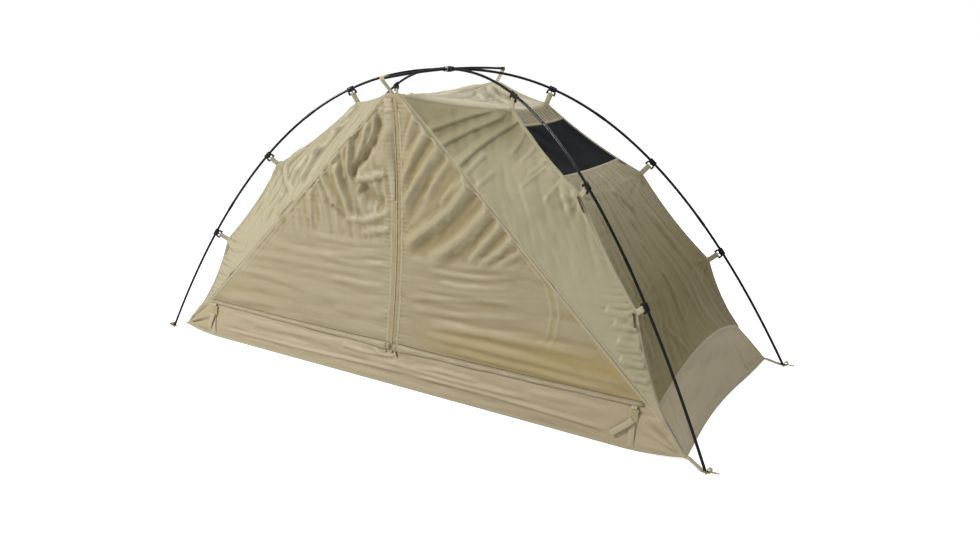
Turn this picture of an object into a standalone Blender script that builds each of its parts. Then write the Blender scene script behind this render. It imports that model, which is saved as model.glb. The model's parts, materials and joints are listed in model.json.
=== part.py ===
"""A one-person bivvy tent, hung inside a crossed outer pole frame.

Metres, +Z up. +X runs along the tent and the door side faces -Y. The origin is on the ground
under the hub. A leg, a corner or a ridge is named by its signs: side_x is +1 on the right and
-1 on the left, side_y is +1 at the rear and -1 at the front.
"""

import math

import bmesh
import bpy
from mathutils import Matrix, Vector

# Crossed poles: a centre line from the hub to each foot, in a vertical plane
POLE_SPAN_LENGTH = 2.400
POLE_SPAN_WIDTH = 0.918
POLE_PEAK = 1.104
POLE_CURVE_POWER = 2.28
POLE_RADIUS = 0.00475
POLE_WALL = 0.0009
UPPER_JOINT_SHARE = 0.44
LOWER_JOINT_SHARE = 0.735
FERRULE_REACH = 0.022
FERRULE_CLEARANCE = 0.00045
FOOT_PIN_RADIUS = 0.0026
FOOT_SHOULDER = 0.0133

# Shares of a leg at which its curve is drawn, beside its joints and clips
UPPER_MARKS = (0.12, 0.21, 0.37)
MIDDLE_MARKS = (0.52, 0.655)
LOWER_MARKS = (0.86, 0.93)

# Brow pole, crossing through the hub
BROW_HALF = 0.384
BROW_DROP = 0.0145
BROW_LEVEL_SHARE = 0.09
BROW_MARKS = (0.4, 0.7, 1.0)

# Hub
HUB_LENGTH = 0.034
HUB_WIDTH = 0.026
HUB_HEIGHT = 0.018
HUB_BEVEL = 0.0025
HUB_POLE_START = 0.016
HUB_SLEEVE_START = 0.009
HUB_SLEEVE_END = 0.034
HUB_SLEEVE_RADIUS = 0.0067
HUB_RUN_OUT = 0.012
HUB_BAND_WIDTH = 0.006
HUB_BAND_THICKNESS = 0.0012
HUB_BAND_DROP = 0.0035

# Pole clips and their webbing tabs
CLIP_SHARES = {"low": 0.799, "middle": 0.592, "high": 0.304}
CLIP_LENGTH = 0.030
CLIP_STRAIGHT = 0.016
CLIP_HOOK_LENGTH = 0.012
CLIP_HOOK_WALL = 0.0026
CLIP_HOOK_START = math.radians(-55)
CLIP_HOOK_TURN = math.radians(250)
CLIP_HOOK_STEPS = 9
CLIP_FRAME_REACH = 0.020
CLIP_FRAME_WALL = 0.0035
CLIP_FRAME_THICKNESS = 0.0036
TAB_LENGTH = 0.054
TAB_LEAN = 0.010
TAB_WIDTH = 0.020
WEBBING = 0.0016

# Canopy and bathtub floor
FABRIC = 0.0008
SEAM_GAP = 0.0005
LONG_FOOT_GAP = 0.0008
END_FOOT_GAP = 0.0012
CORNER_INSET_LENGTH = 0.067
CORNER_INSET_WIDTH = 0.020
CORNER_LIFT = 0.0245
HEM_INSET_LENGTH = 0.104
HEM_INSET_WIDTH = 0.031
HEM_HEIGHT = 0.1456
HEM_SAG = 0.012
PEAK_INSET = 0.049
PEAK_DROP = 0.052
PEAK_HALF = 0.0225
DOOR_TOE = 0.025
RIDGE_SAG = 0.012
EAVE_SAG = 0.008
CROSS_SAG = 0.006
ROOF_SAG = 0.028
WALL_HOLLOW = 0.030
END_HEM_ARCH = 0.072
END_FOOT_HOLLOW = 0.041
LONG_LIFT_START = 0.80
END_LIFT_START = 0.50
VENT_LOW = 0.24
VENT_HIGH = 0.80
WALL_FOLD = 0.009
WALL_FOLD_COUNT = 2.2
WALL_FOLD_LEAN = 1.3
END_FOLD = 0.009
END_FOLD_COUNT = 3
END_FOLD_IN = (0.8, 0.6)

# How finely the cloth is drawn
ARC_ROWS = 4
SIDE_COLUMNS = 5
FLAP_COLUMNS = 12
CROSS_COLUMNS = 8
TUB_COLUMNS = 12
TUB_ROWS = 3

# Door flaps and their zip sliders
HINGE_GAP = 0.0008
ZIP_GAP = 0.00035
SLIDER_WIDTH = 0.009
SLIDER_LENGTH = 0.013
SLIDER_THICKNESS = 0.004
SLIDER_BEVEL = 0.0008
SLIDER_GAP = 0.0003
LUG_WIDTH = 0.0015
LUG_LENGTH = 0.0050
LUG_HEIGHT = 0.0032
LUG_SINK = 0.0006
PULL_WIDTH = 0.0050
PULL_TIP_WIDTH = 0.0075
PULL_LENGTH = 0.026
PULL_STEM_SHARE = 0.60
PULL_HOLE_SHARE = 0.86
PULL_HOLE_RADIUS = 0.00125
PULL_END = 0.0006
PULL_THICKNESS = 0.0018
TAG_SINK = 0.0005
DOOR_SLIDER_LEFT = 0.0012
HEM_SLIDER_OFFSET = 0.024
SLIDER_RISE = 0.0010

# Side-release buckles at the front hem
BUCKLE_INSET = 0.074
BUCKLE_WIDTH = 0.034
BUCKLE_LENGTH = 0.026
BUCKLE_THICKNESS = 0.0090
BUCKLE_BEVEL = 0.0015
BUCKLE_WALL = 0.0022
BUCKLE_DROP = 0.014
BUCKLE_STAND_OFF = 0.0065
BUCKLE_CLEARANCE = 0.0005
BUCKLE_BASE = 0.014
BASE_THICKNESS = 0.0080
BASE_BEVEL = 0.0012
PRONG_WIDTH = 0.0040
PRONG_LENGTH = 0.019
PRONG_ROOT = 0.002
WINDOW_LENGTH = 0.009
WINDOW_HEIGHT = 0.0037
WINDOW_SHARE = 0.55
STRAP_WIDTH = 0.020
STRAP_SLOT = 0.0030
STRAP_TOP_SINK = 0.0034
STRAP_STRAIGHT = 0.062
STRAP_END_HEIGHT = 0.012

# Brow straps, over the brow pole's ends
BROW_STRAP_LAP = 0.020
BROW_STRAP_RISE = 0.0016
BROW_STRAP_CROWN = 0.0003
BROW_STRAP_BEND = 0.66
BROW_STRAP_UNDER = 0.0022
BROW_STRAP_SLACK = 0.003
BROW_STRAP_OUT = 0.002

# Corner straps
CORNER_STRAP_HEIGHT = 0.0085
GROMMET_RADIUS = 0.0058
CORNER_STRAP_TIP = 0.012
CORNER_STRAP_TUCK = 0.0002
CORNER_STRAP_RISE = 0.0010
CORNER_STRAP_SAG = 0.001
CORNER_STRAP_PATCH = 0.009
STAKE_LOOP_RADIUS = 0.0065
STAKE_LOOP_TURN = math.radians(285)
STAKE_LOOP_STEPS = 8
GROMMET_SIDES = 12

# Clear distance between a piece and its seat, and between a buckle's webbing and the wall
SEAT_GAP = 0.0004
STRAP_REST = 0.0010


def start_clean():
    """Removes every object, so that the file can be run twice."""
    for obj in list(bpy.data.objects):
        bpy.data.objects.remove(obj)


def collection(name):
    """A new collection in the scene."""
    made = bpy.data.collections.new(name)
    bpy.context.scene.collection.children.link(made)
    return made


def material(name, colour, roughness, metallic=0.0):
    """A plain Principled material."""
    made = bpy.data.materials.new(name)
    made.use_nodes = True
    shader = made.node_tree.nodes["Principled BSDF"]
    shader.inputs["Base Color"].default_value = (*colour, 1.0)
    shader.inputs["Roughness"].default_value = roughness
    shader.inputs["Metallic"].default_value = metallic
    return made


start_clean()
TENT = collection("bivvy_tent")
CUTTERS = collection("cutters")
COLOURS = {
    "pole": ((0.02, 0.02, 0.02), 0.35),
    "black_plastic": ((0.015, 0.015, 0.015), 0.4),
    "pale_band": ((0.6, 0.6, 0.6), 0.4),
    "canopy": ((0.33, 0.27, 0.17), 0.75),
    "door_cloth": ((0.30, 0.24, 0.14), 0.75),
    "tub_cloth": ((0.36, 0.30, 0.20), 0.7),
    "mesh": ((0.02, 0.02, 0.025), 0.8),
    "webbing": ((0.45, 0.37, 0.22), 0.85),
    "buckle": ((0.40, 0.33, 0.19), 0.5),
    "zip_metal": ((0.30, 0.26, 0.18), 0.4),
}


def finish(obj, name, kind, place=TENT):
    """Names an object, gives it its own material and puts it in its collection."""
    obj.name = name
    obj.data.name = name
    obj.data.materials.clear()
    obj.data.materials.append(material(name, *COLOURS[kind]))
    for owner in list(obj.users_collection):
        owner.objects.unlink(obj)
    place.objects.link(obj)
    return obj


def helper(obj, name):
    """Puts a cutter or a joined-on shape in the cutters' collection, out of the model."""
    obj.name = name
    for owner in list(obj.users_collection):
        owner.objects.unlink(obj)
    CUTTERS.objects.link(obj)
    obj.hide_render = True
    obj.display_type = "WIRE"
    return obj


def object_of(mesh_or_curve, name):
    """An object for new data, linked to the scene until finish or helper places it."""
    obj = bpy.data.objects.new(name, mesh_or_curve)
    bpy.context.scene.collection.objects.link(obj)
    return obj


def smooth_rounds(obj, angle=math.radians(40)):
    """Shades the round faces smooth and keeps the corners sharp."""
    obj.data.shade_smooth()
    obj.data.set_sharp_from_angle(angle=angle)
    return obj


def as_mesh(obj, name):
    """Turns a curve into a welded mesh object at the same place."""
    bpy.context.view_layer.update()
    graph = bpy.context.evaluated_depsgraph_get()
    mesh = bpy.data.meshes.new_from_object(obj.evaluated_get(graph), depsgraph=graph)
    welder = bmesh.new()
    welder.from_mesh(mesh)
    bmesh.ops.remove_doubles(welder, verts=welder.verts, dist=0.00001)
    bmesh.ops.recalc_face_normals(welder, faces=welder.faces)
    welder.to_mesh(mesh)
    welder.free()
    made = object_of(mesh, name)
    made.matrix_world = obj.matrix_world.copy()
    bpy.data.objects.remove(obj)
    return made


def block(size, centre=(0, 0, 0), turn=None, bevel=0.0):
    """A box by its three sides, its centre and its three axes."""
    mesh = bpy.data.meshes.new("block")
    shape = bmesh.new()
    bmesh.ops.create_cube(shape, size=1.0)
    bmesh.ops.scale(shape, verts=shape.verts, vec=Vector(size))
    if bevel:
        bmesh.ops.bevel(
            shape, geom=shape.edges[:], offset=bevel, segments=2, affect="EDGES", profile=0.5
        )
    shape.to_mesh(mesh)
    shape.free()
    obj = object_of(mesh, "block")
    obj.matrix_world = Matrix.Translation(centre) @ (turn.to_4x4() if turn else Matrix())
    return obj


def rod(start, end, radius, sides=16):
    """A round bar between two points."""
    run = Vector(end) - Vector(start)
    mesh = bpy.data.meshes.new("rod")
    shape = bmesh.new()
    bmesh.ops.create_cone(
        shape, cap_ends=True, segments=sides, radius1=radius, radius2=radius, depth=run.length
    )
    shape.to_mesh(mesh)
    shape.free()
    obj = object_of(mesh, "rod")
    turn = run.to_track_quat("Z", "Y").to_matrix().to_4x4()
    obj.matrix_world = Matrix.Translation((Vector(start) + Vector(end)) / 2) @ turn
    return obj


def pipe(points, radii, wall=0.0):
    """A round bar along points, or a tube of one wall thickness with open ends."""
    curve = bpy.data.curves.new("pipe", "CURVE")
    curve.dimensions = "3D"
    curve.twist_mode = "Z_UP"
    curve.bevel_depth = 1.0
    curve.bevel_resolution = 2
    curve.use_fill_caps = not wall
    spline = curve.splines.new("POLY")
    spline.points.add(len(points) - 1)
    for slot, point, radius in zip(spline.points, points, radii):
        slot.co = (*point, 1.0)
        slot.radius = radius
    obj = object_of(curve, "pipe")
    if wall:
        skin = obj.modifiers.new("wall", "SOLIDIFY")
        skin.thickness = wall
        skin.offset = -1.0
    return obj


def plate(outlines, thickness):
    """A flat plate from closed outlines in its XY plane, the inner ones being holes."""
    curve = bpy.data.curves.new("plate", "CURVE")
    curve.dimensions = "2D"
    curve.fill_mode = "BOTH"
    curve.extrude = thickness / 2
    for outline in outlines:
        spline = curve.splines.new("POLY")
        spline.points.add(len(outline) - 1)
        spline.use_cyclic_u = True
        for slot, (x, y) in zip(spline.points, outline):
            slot.co = (x, y, 0.0, 1.0)
    return as_mesh(object_of(curve, "plate"), "plate")


def rectangle(low_x, high_x, low_y, high_y):
    """The four corners of a rectangle."""
    return [(low_x, low_y), (high_x, low_y), (high_x, high_y), (low_x, high_y)]


def arc(radius, start, turn, steps):
    """Points along an arc about the origin."""
    angles = [start + turn * step / steps for step in range(steps + 1)]
    return [(radius * math.cos(angle), radius * math.sin(angle)) for angle in angles]


def combine(obj, other, how, name):
    """Adds a live Boolean with another shape, which moves to the cutters."""
    helper(other, name)
    step = obj.modifiers.new(name, "BOOLEAN")
    step.operation = how
    step.solver = "EXACT"
    step.object = other
    return obj


def frame_matrix(across, along, out, origin):
    """A matrix whose X, Y and Z axes are the three given directions."""
    turn = Matrix((across, along, out)).transposed().to_4x4()
    return Matrix.Translation(origin) @ turn


def edge_shift(here, ahead, behind, inner):
    """The unit direction from an edge towards the inside, square to the edge."""
    tangent = (ahead - behind).normalized()
    inward = inner - here
    return (inward - tangent * inward.dot(tangent)).normalized()


def pulled_back(points, gaps):
    """Moves a grid's outer rows and columns in by their gaps: left, right, bottom, top."""
    rows, columns = len(points), len(points[0])
    left, right, bottom, top = gaps
    moved = [[point.copy() for point in row] for row in points]
    for i in range(rows):
        for j in range(columns):
            shifts = []
            if i in (0, rows - 1):
                inner = points[1 if i == 0 else rows - 2][j]
                ahead, behind = points[i][min(j + 1, columns - 1)], points[i][max(j - 1, 0)]
                direction = edge_shift(points[i][j], ahead, behind, inner)
                shifts.append((direction, bottom if i == 0 else top))
            if j in (0, columns - 1):
                inner = points[i][1 if j == 0 else columns - 2]
                ahead, behind = points[min(i + 1, rows - 1)][j], points[max(i - 1, 0)][j]
                direction = edge_shift(points[i][j], ahead, behind, inner)
                shifts.append((direction, left if j == 0 else right))
            if len(shifts) == 1:
                moved[i][j] += shifts[0][0] * shifts[0][1]
            if len(shifts) == 2:
                (first, gap_one), (second, gap_two) = shifts
                shared = first.dot(second)
                scale = 1 - shared * shared
                moved[i][j] += first * (gap_one - gap_two * shared) / scale
                moved[i][j] += second * (gap_two - gap_one * shared) / scale
    return moved


def cloth(name, kind, points, gaps=(SEAM_GAP,) * 4, thickness=FABRIC, outward=None):
    """A sheet on a grid of points, thickened to both sides, with gaps to its neighbours."""
    moved = pulled_back(points, gaps)
    rows, columns = len(moved), len(moved[0])
    mesh = bpy.data.meshes.new(name)
    shape = bmesh.new()
    bmesh.ops.create_grid(shape, x_segments=columns - 1, y_segments=rows - 1, size=1.0)
    shape.verts.ensure_lookup_table()
    for index, vertex in enumerate(shape.verts):
        vertex.co = moved[index // columns][index % columns]
    shape.normal_update()
    facing = sum((face.normal for face in shape.faces), Vector())
    if outward is not None and facing.dot(outward) < 0:
        bmesh.ops.reverse_faces(shape, faces=shape.faces)
    shape.to_mesh(mesh)
    shape.free()
    obj = object_of(mesh, name)
    obj.data.shade_smooth()
    skin = obj.modifiers.new("thickness", "SOLIDIFY")
    skin.thickness = thickness
    skin.offset = 0.0
    return finish(obj, name, kind)


def mix(a, b, share):
    """The point a share of the way from a to b."""
    return a + (b - a) * share


def arch(share):
    """0 at both ends of a run and 1 in its middle."""
    return 4 * share * (1 - share)


def ramp(value, start):
    """0 up to start, then rising smoothly to 1 at 1."""
    return max(0.0, (abs(value) - start) / (1 - start)) ** 2


def settle(share, margin=0.16):
    """0 at both edges of a panel and 1 a margin inside them."""
    edge = min(1.0, share / margin, (1 - share) / margin)
    return edge * edge * (3 - 2 * edge)


# Key points of the frame

def pole_point(share, side_x, side_y):
    """The pole's centre line, a share of the way out from the hub to the foot."""
    return Vector(
        (
            side_x * share * POLE_SPAN_LENGTH / 2,
            side_y * share * POLE_SPAN_WIDTH / 2,
            POLE_PEAK * (1 - abs(share) ** POLE_CURVE_POWER),
        )
    )


def pole_tangent(share, side_x, side_y):
    """The pole's direction, outwards and down."""
    step = 0.001
    ahead = pole_point(share + step, side_x, side_y)
    return (ahead - pole_point(share - step, side_x, side_y)).normalized()


def leg_out(side_x, side_y):
    """The level direction from the hub towards a foot."""
    return Vector((side_x * POLE_SPAN_LENGTH, side_y * POLE_SPAN_WIDTH, 0.0)).normalized()


def pole_inward(share, side_x, side_y):
    """The direction square to the pole, in its plane, towards the tent."""
    tangent = pole_tangent(share, side_x, side_y)
    out = leg_out(side_x, side_y)
    return out * tangent.z - Vector((0, 0, 1)) * tangent.dot(out)


def share_of(distance, near):
    """The share that a distance along the pole takes, near a share."""
    step = 0.001
    run = (pole_point(near + step, 1, 1) - pole_point(near - step, 1, 1)).length
    return distance * 2 * step / run


def tab_seat(share, side_x, side_y):
    """Where a clip's webbing tab is sewn to the ridge seam."""
    out = leg_out(side_x, side_y)
    lean = Vector((out.y * side_x * side_y, -out.x * side_x * side_y, 0.0))
    inward = pole_inward(share, side_x, side_y) * TAB_LENGTH
    return pole_point(share, side_x, side_y) + inward + lean * TAB_LEAN


def tub_corner(side_x, side_y):
    """The corner of the bathtub floor, lifted by its strap."""
    return Vector(
        (
            side_x * (POLE_SPAN_LENGTH / 2 - CORNER_INSET_LENGTH),
            side_y * (POLE_SPAN_WIDTH / 2 - CORNER_INSET_WIDTH),
            CORNER_LIFT,
        )
    )


def hem_corner(side_x, side_y):
    """Where the ridge seam meets the bathtub's top edge."""
    corner = tub_corner(side_x, side_y)
    inset = Vector((side_x * HEM_INSET_LENGTH, side_y * HEM_INSET_WIDTH, 0.0))
    return Vector((corner.x - inset.x, corner.y - inset.y, HEM_HEIGHT))


def brow_end(side_y):
    """The end of the brow pole."""
    return Vector((0.0, side_y * BROW_HALF, POLE_PEAK - BROW_DROP))


def peak(side_y, x=0.0):
    """The canopy's peak under an end of the brow pole."""
    end = brow_end(side_y)
    return Vector((x, end.y - side_y * PEAK_INSET, end.z - PEAK_DROP))


def hem_point(x, side_y):
    """The top edge of the bathtub's long wall."""
    corner = hem_corner(1, side_y)
    return Vector((x, corner.y, corner.z - HEM_SAG * (1 - (x / corner.x) ** 2)))


def hem_half():
    """Half the length of the bathtub's top edge."""
    return hem_corner(1, 1).x


# Lines of the canopy

VENT_MIDDLE = (VENT_LOW + VENT_HIGH) / 2
RIDGE_STATIONS = [step / ARC_ROWS for step in range(2 * ARC_ROWS)]
RIDGE_STATIONS += [2.0, 2 + VENT_LOW, 2 + VENT_MIDDLE, 2 + VENT_HIGH, 3.0]
VENT_ROW = len(RIDGE_STATIONS) - 4
ROOF_ROW = len(RIDGE_STATIONS) - 2


def ridge_point(station, side_x, side_y):
    """The ridge seam: station 0 at the hem, then 1, 2 and 3 at the low, middle and high tabs."""
    shares = [CLIP_SHARES[level] for level in ("low", "middle", "high")]
    seats = [hem_corner(side_x, side_y)]
    seats += [tab_seat(share, side_x, side_y) for share in shares]
    number = min(int(station), 2)
    part = station - number
    shares = [1.0] + shares
    inward = pole_inward((shares[number] + shares[number + 1]) / 2, side_x, side_y)
    return mix(seats[number], seats[number + 1], part) + inward * RIDGE_SAG * arch(part)


def door_seam(rise, side_x, side_y):
    """The straight seam from the hem's corner up to the peak, which the door flap turns on."""
    toe = hem_point(side_x * (hem_half() - DOOR_TOE), side_y)
    return mix(toe, peak(side_y, side_x * PEAK_HALF), rise)


def zip_line(rise, side_y, hollow=WALL_HOLLOW):
    """The upright line up the middle of a long wall."""
    line = mix(hem_point(0.0, side_y), peak(side_y), rise)
    return line - Vector((0, side_y, 0)) * hollow * arch(rise)


def rise_of(row):
    """How far up the wall a row of the ridge's stations lies."""
    return row / (len(RIDGE_STATIONS) - 1)


def side_point(row, across, side_x, side_y):
    """The panel between the door seam and the ridge."""
    rise = rise_of(row)
    station = RIDGE_STATIONS[row]
    point = mix(door_seam(rise, side_x, side_y), ridge_point(station, side_x, side_y), across)
    point.z -= EAVE_SAG * arch(across) * rise ** 4
    return point


def centre_point(rise, across, side_x, side_y):
    """The triangle between the upright line and the door seam, with its folds."""
    point = mix(zip_line(rise, side_y), door_seam(rise, side_x, side_y), across)
    hem = hem_point(point.x, side_y)
    foot = mix(hem_point(0.0, side_y), door_seam(0.0, side_x, side_y), across)
    point.z += (hem.z - foot.z) * (1 - rise) ** 6
    turns = WALL_FOLD_COUNT * rise + WALL_FOLD_LEAN * across * side_x
    folds = 0.5 - 0.5 * math.cos(math.tau * turns)
    inward = Vector((0, -side_y, 0))
    return point + inward * WALL_FOLD * folds * settle(rise, 0.3) * settle(across)


def end_point(station, across, side_x):
    """The sloping end between the front and rear ridges."""
    front = ridge_point(station, side_x, -1)
    rear = ridge_point(station, side_x, 1)
    point = mix(front, rear, across)
    point.z -= CROSS_SAG * arch(across)
    low = max(0.0, 1 - station / (2 + VENT_LOW))
    point.z += (END_HEM_ARCH + CROSS_SAG) * arch(across) * low ** 3
    return point


def eave_point(column, side_y):
    """The roof's long edge, from the left high tab over the peak to the right one."""
    top = len(RIDGE_STATIONS) - 1
    if column < SIDE_COLUMNS:
        return side_point(top, 1 - column / SIDE_COLUMNS, -1, side_y)
    if column == SIDE_COLUMNS:
        return peak(side_y, -PEAK_HALF)
    if column == SIDE_COLUMNS + 1:
        return peak(side_y)
    if column == SIDE_COLUMNS + 2:
        return peak(side_y, PEAK_HALF)
    return side_point(top, (column - SIDE_COLUMNS - 2) / SIDE_COLUMNS, 1, side_y)


def tub_foot(across, side_y):
    """The bottom edge of the bathtub's long wall, from left to right."""
    corner = tub_corner(1, side_y)
    share = 2 * across - 1
    return Vector((share * corner.x, corner.y, FABRIC / 2 + CORNER_LIFT * ramp(share, LONG_LIFT_START)))


def end_foot(across, side_x):
    """The bottom edge of the bathtub's end wall, from front to rear."""
    corner = tub_corner(side_x, 1)
    share = 2 * across - 1
    x = corner.x - side_x * END_FOOT_HOLLOW * (1 - share * share)
    return Vector((x, share * corner.y, FABRIC / 2 + CORNER_LIFT * ramp(share, END_LIFT_START)))


# Pole frame

def pole_section(name, marks, side_x, side_y, ferrule_at=None, foot=False):
    """One section of a leg: its tube, and the ferrule or the foot pin at its lower end."""
    points = [pole_point(share, side_x, side_y) for share in marks]
    radii = [POLE_RADIUS] * len(marks)
    if ferrule_at:
        reach = share_of(FERRULE_REACH, ferrule_at)
        socket = POLE_RADIUS + FERRULE_CLEARANCE + POLE_WALL
        for share, radius in (
            (ferrule_at - reach, POLE_RADIUS),
            (ferrule_at - reach * 0.9, socket),
            (ferrule_at, socket),
            (ferrule_at + reach, socket),
        ):
            points.append(pole_point(share, side_x, side_y))
            radii.append(radius)
    if foot:
        shoulder = 1 - share_of(FOOT_SHOULDER, 1.0)
        pin = 1 - share_of(FOOT_SHOULDER - POLE_WALL, 1.0)
        tangent = pole_tangent(1.0, side_x, side_y)
        level = math.sqrt(1 - tangent.z ** 2)
        tip = 1 - share_of(FOOT_PIN_RADIUS * level / -tangent.z, 1.0)
        for share, radius in (
            (shoulder, POLE_RADIUS),
            (pin, FOOT_PIN_RADIUS),
            (tip, FOOT_PIN_RADIUS),
        ):
            points.append(pole_point(share, side_x, side_y))
            radii.append(radius)
    tube = pipe(points, radii, POLE_WALL)
    return finish(tube, name, "pole")


def leg_reach():
    """The level distance from the hub to a foot."""
    return Vector((POLE_SPAN_LENGTH / 2, POLE_SPAN_WIDTH / 2)).length


def hub_shares():
    """The two marks between which a leg runs straight out of the hub."""
    return [HUB_POLE_START / leg_reach(), (HUB_SLEEVE_END + HUB_RUN_OUT) / leg_reach()]


def hub_way(side_x, side_y):
    """Where a leg starts in the hub, and its direction out."""
    near, far = (pole_point(share, side_x, side_y) for share in hub_shares())
    return near, (far - near).normalized()


def in_socket(joint_share):
    """The two marks of a section that starts in the ferrule at a joint."""
    return [joint_share, joint_share + share_of(FERRULE_REACH, joint_share)]


def around_clip(level):
    """The two marks that keep the pole straight through a clip."""
    share = CLIP_SHARES[level]
    reach = share_of(CLIP_STRAIGHT, share)
    return [share - reach, share + reach]


def make_leg(prefix, side_x, side_y):
    """The three sections of one leg."""
    upper = sorted([*hub_shares(), *UPPER_MARKS, *around_clip("high")])
    middle = sorted([*in_socket(UPPER_JOINT_SHARE), *MIDDLE_MARKS, *around_clip("middle")])
    lower = sorted([*in_socket(LOWER_JOINT_SHARE), *LOWER_MARKS, *around_clip("low")])
    pole_section(f"{prefix}_pole_upper", upper, side_x, side_y, ferrule_at=UPPER_JOINT_SHARE)
    pole_section(f"{prefix}_pole_middle", middle, side_x, side_y, ferrule_at=LOWER_JOINT_SHARE)
    pole_section(f"{prefix}_pole_lower", lower, side_x, side_y, foot=True)


def make_brow_pole():
    """The short pole across the tent, arched down to its ends."""
    half = (BROW_LEVEL_SHARE, *BROW_MARKS)
    points = []
    for share in [-share for share in reversed(half)] + list(half):
        fall = 0.0 if abs(share) == BROW_LEVEL_SHARE else BROW_DROP * share * share
        points.append(Vector((0, share * BROW_HALF, POLE_PEAK - fall)))
    finish(pipe(points, [POLE_RADIUS] * len(points), POLE_WALL), "brow_pole", "pole")


def make_hub():
    """The moulded hub: a block with a sleeve for each leg and a way through for the brow pole."""
    centre = Vector((0, 0, POLE_PEAK))
    body = block((HUB_LENGTH, HUB_WIDTH, HUB_HEIGHT), centre, bevel=HUB_BEVEL)
    bore = POLE_RADIUS + FERRULE_CLEARANCE
    legs = [(side_x, side_y) for side_x in (-1, 1) for side_y in (-1, 1)]
    for number, (side_x, side_y) in enumerate(legs):
        near, way = hub_way(side_x, side_y)
        sleeve_start = near + way * (HUB_SLEEVE_START - HUB_POLE_START)
        sleeve_end = near + way * (HUB_SLEEVE_END - HUB_POLE_START)
        sleeve = rod(sleeve_start, sleeve_end, HUB_SLEEVE_RADIUS)
        combine(body, sleeve, "UNION", f"hub_sleeve_{number}")
    for number, (side_x, side_y) in enumerate(legs):
        near, way = hub_way(side_x, side_y)
        hole = rod(near - way * SEAT_GAP, near + way * HUB_SLEEVE_END, bore)
        combine(body, hole, "DIFFERENCE", f"hub_bore_{number}")
    across = Vector((0, HUB_WIDTH, 0))
    combine(body, rod(centre - across, centre + across, bore), "DIFFERENCE", "hub_brow_bore")
    finish(body, "hub", "black_plastic")


def make_hub_band():
    """The pale band that snaps over the middle of the hub."""
    half = HUB_WIDTH / 2 + SEAT_GAP
    outer = half + HUB_BAND_THICKNESS
    top = HUB_HEIGHT / 2 + SEAT_GAP
    high = top + HUB_BAND_THICKNESS
    low = HUB_HEIGHT / 2 - HUB_BAND_DROP
    outline = [(-outer, low), (-half, low), (-half, top), (half, top)]
    outline += [(half, low), (outer, low), (outer, high), (-outer, high)]
    band = plate([outline], HUB_BAND_WIDTH)
    axes = (Vector((0, 1, 0)), Vector((0, 0, 1)), Vector((1, 0, 0)))
    band.matrix_world = frame_matrix(*axes, Vector((0, 0, POLE_PEAK)))
    finish(band, "hub_band", "pale_band")


# Pole clips

def clip_mesh():
    """A clip round the pole's axis: Z along the pole, X towards the canopy."""
    inner = POLE_RADIUS + FERRULE_CLEARANCE
    outer = inner + CLIP_HOOK_WALL
    outline = arc(outer, CLIP_HOOK_START, CLIP_HOOK_TURN, CLIP_HOOK_STEPS)
    outline += reversed(arc(inner, CLIP_HOOK_START, CLIP_HOOK_TURN, CLIP_HOOK_STEPS))
    hook = plate([outline], CLIP_HOOK_LENGTH)
    near = inner + CLIP_HOOK_WALL * 0.4
    far = CLIP_FRAME_REACH
    half = CLIP_LENGTH / 2
    wall = CLIP_FRAME_WALL
    frame = plate(
        [
            rectangle(near, far, -half, half),
            rectangle(near + wall, far - wall, -half + wall, half - wall),
        ],
        CLIP_FRAME_THICKNESS,
    )
    frame.matrix_world = frame_matrix(
        Vector((1, 0, 0)), Vector((0, 0, 1)), Vector((0, -1, 0)), Vector()
    )
    combine(frame, hook, "UNION", "clip_hook")
    reach = math.hypot(TAB_LENGTH, TAB_LEAN) - FABRIC / 2 - SEAM_GAP
    start = far - wall * 1.6
    tab = block((reach - start, WEBBING, TAB_WIDTH), ((reach + start) / 2, 0, 0))
    combine(frame, tab, "UNION", "clip_tab")
    made = as_mesh(frame, "pole_clip")
    made.data.transform(made.matrix_world)
    mesh = made.data
    bpy.data.objects.remove(made)
    return mesh


def make_clips(prefix, mesh, side_x, side_y):
    """The three clips of one leg, each on the pole with its tab on the ridge."""
    for level, share in CLIP_SHARES.items():
        seat = tab_seat(share, side_x, side_y)
        marks = [pole_point(mark, side_x, side_y) for mark in around_clip(level)]
        centre = (marks[0] + marks[1]) / 2
        along = (marks[1] - marks[0]).normalized()
        towards = seat - centre
        towards = (towards - along * towards.dot(along)).normalized()
        clip = object_of(mesh.copy(), "clip")
        clip.matrix_world = frame_matrix(towards, along.cross(towards), along, centre)
        finish(clip, f"{prefix}_clip_{level}", "black_plastic")


# Canopy

def make_side_panel(name, side_x, side_y):
    """A single-layer panel between the door seam and the ridge."""
    rows = range(len(RIDGE_STATIONS))
    columns = range(SIDE_COLUMNS + 1)
    points = [
        [side_point(row, column / SIDE_COLUMNS, side_x, side_y) for column in columns]
        for row in rows
    ]
    gaps = (HINGE_GAP, SEAM_GAP, SEAM_GAP, SEAM_GAP)
    cloth(name, "canopy", points, gaps, outward=Vector((0, side_y, 0)))


def make_flap(name, side_x):
    """A door flap between the upright zip and the door seam."""
    rows = range(len(RIDGE_STATIONS))
    columns = range(FLAP_COLUMNS + 1)
    points = [
        [centre_point(rise_of(row), column / FLAP_COLUMNS, side_x, -1) for column in columns]
        for row in rows
    ]
    gaps = (ZIP_GAP, HINGE_GAP, SEAM_GAP, SEAM_GAP)
    flap = cloth(name, "door_cloth", points, gaps, outward=Vector((0, -1, 0)))
    hinge = door_seam(0.5, side_x, -1)
    flap.data.transform(Matrix.Translation(-hinge))
    flap.location = hinge


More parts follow.
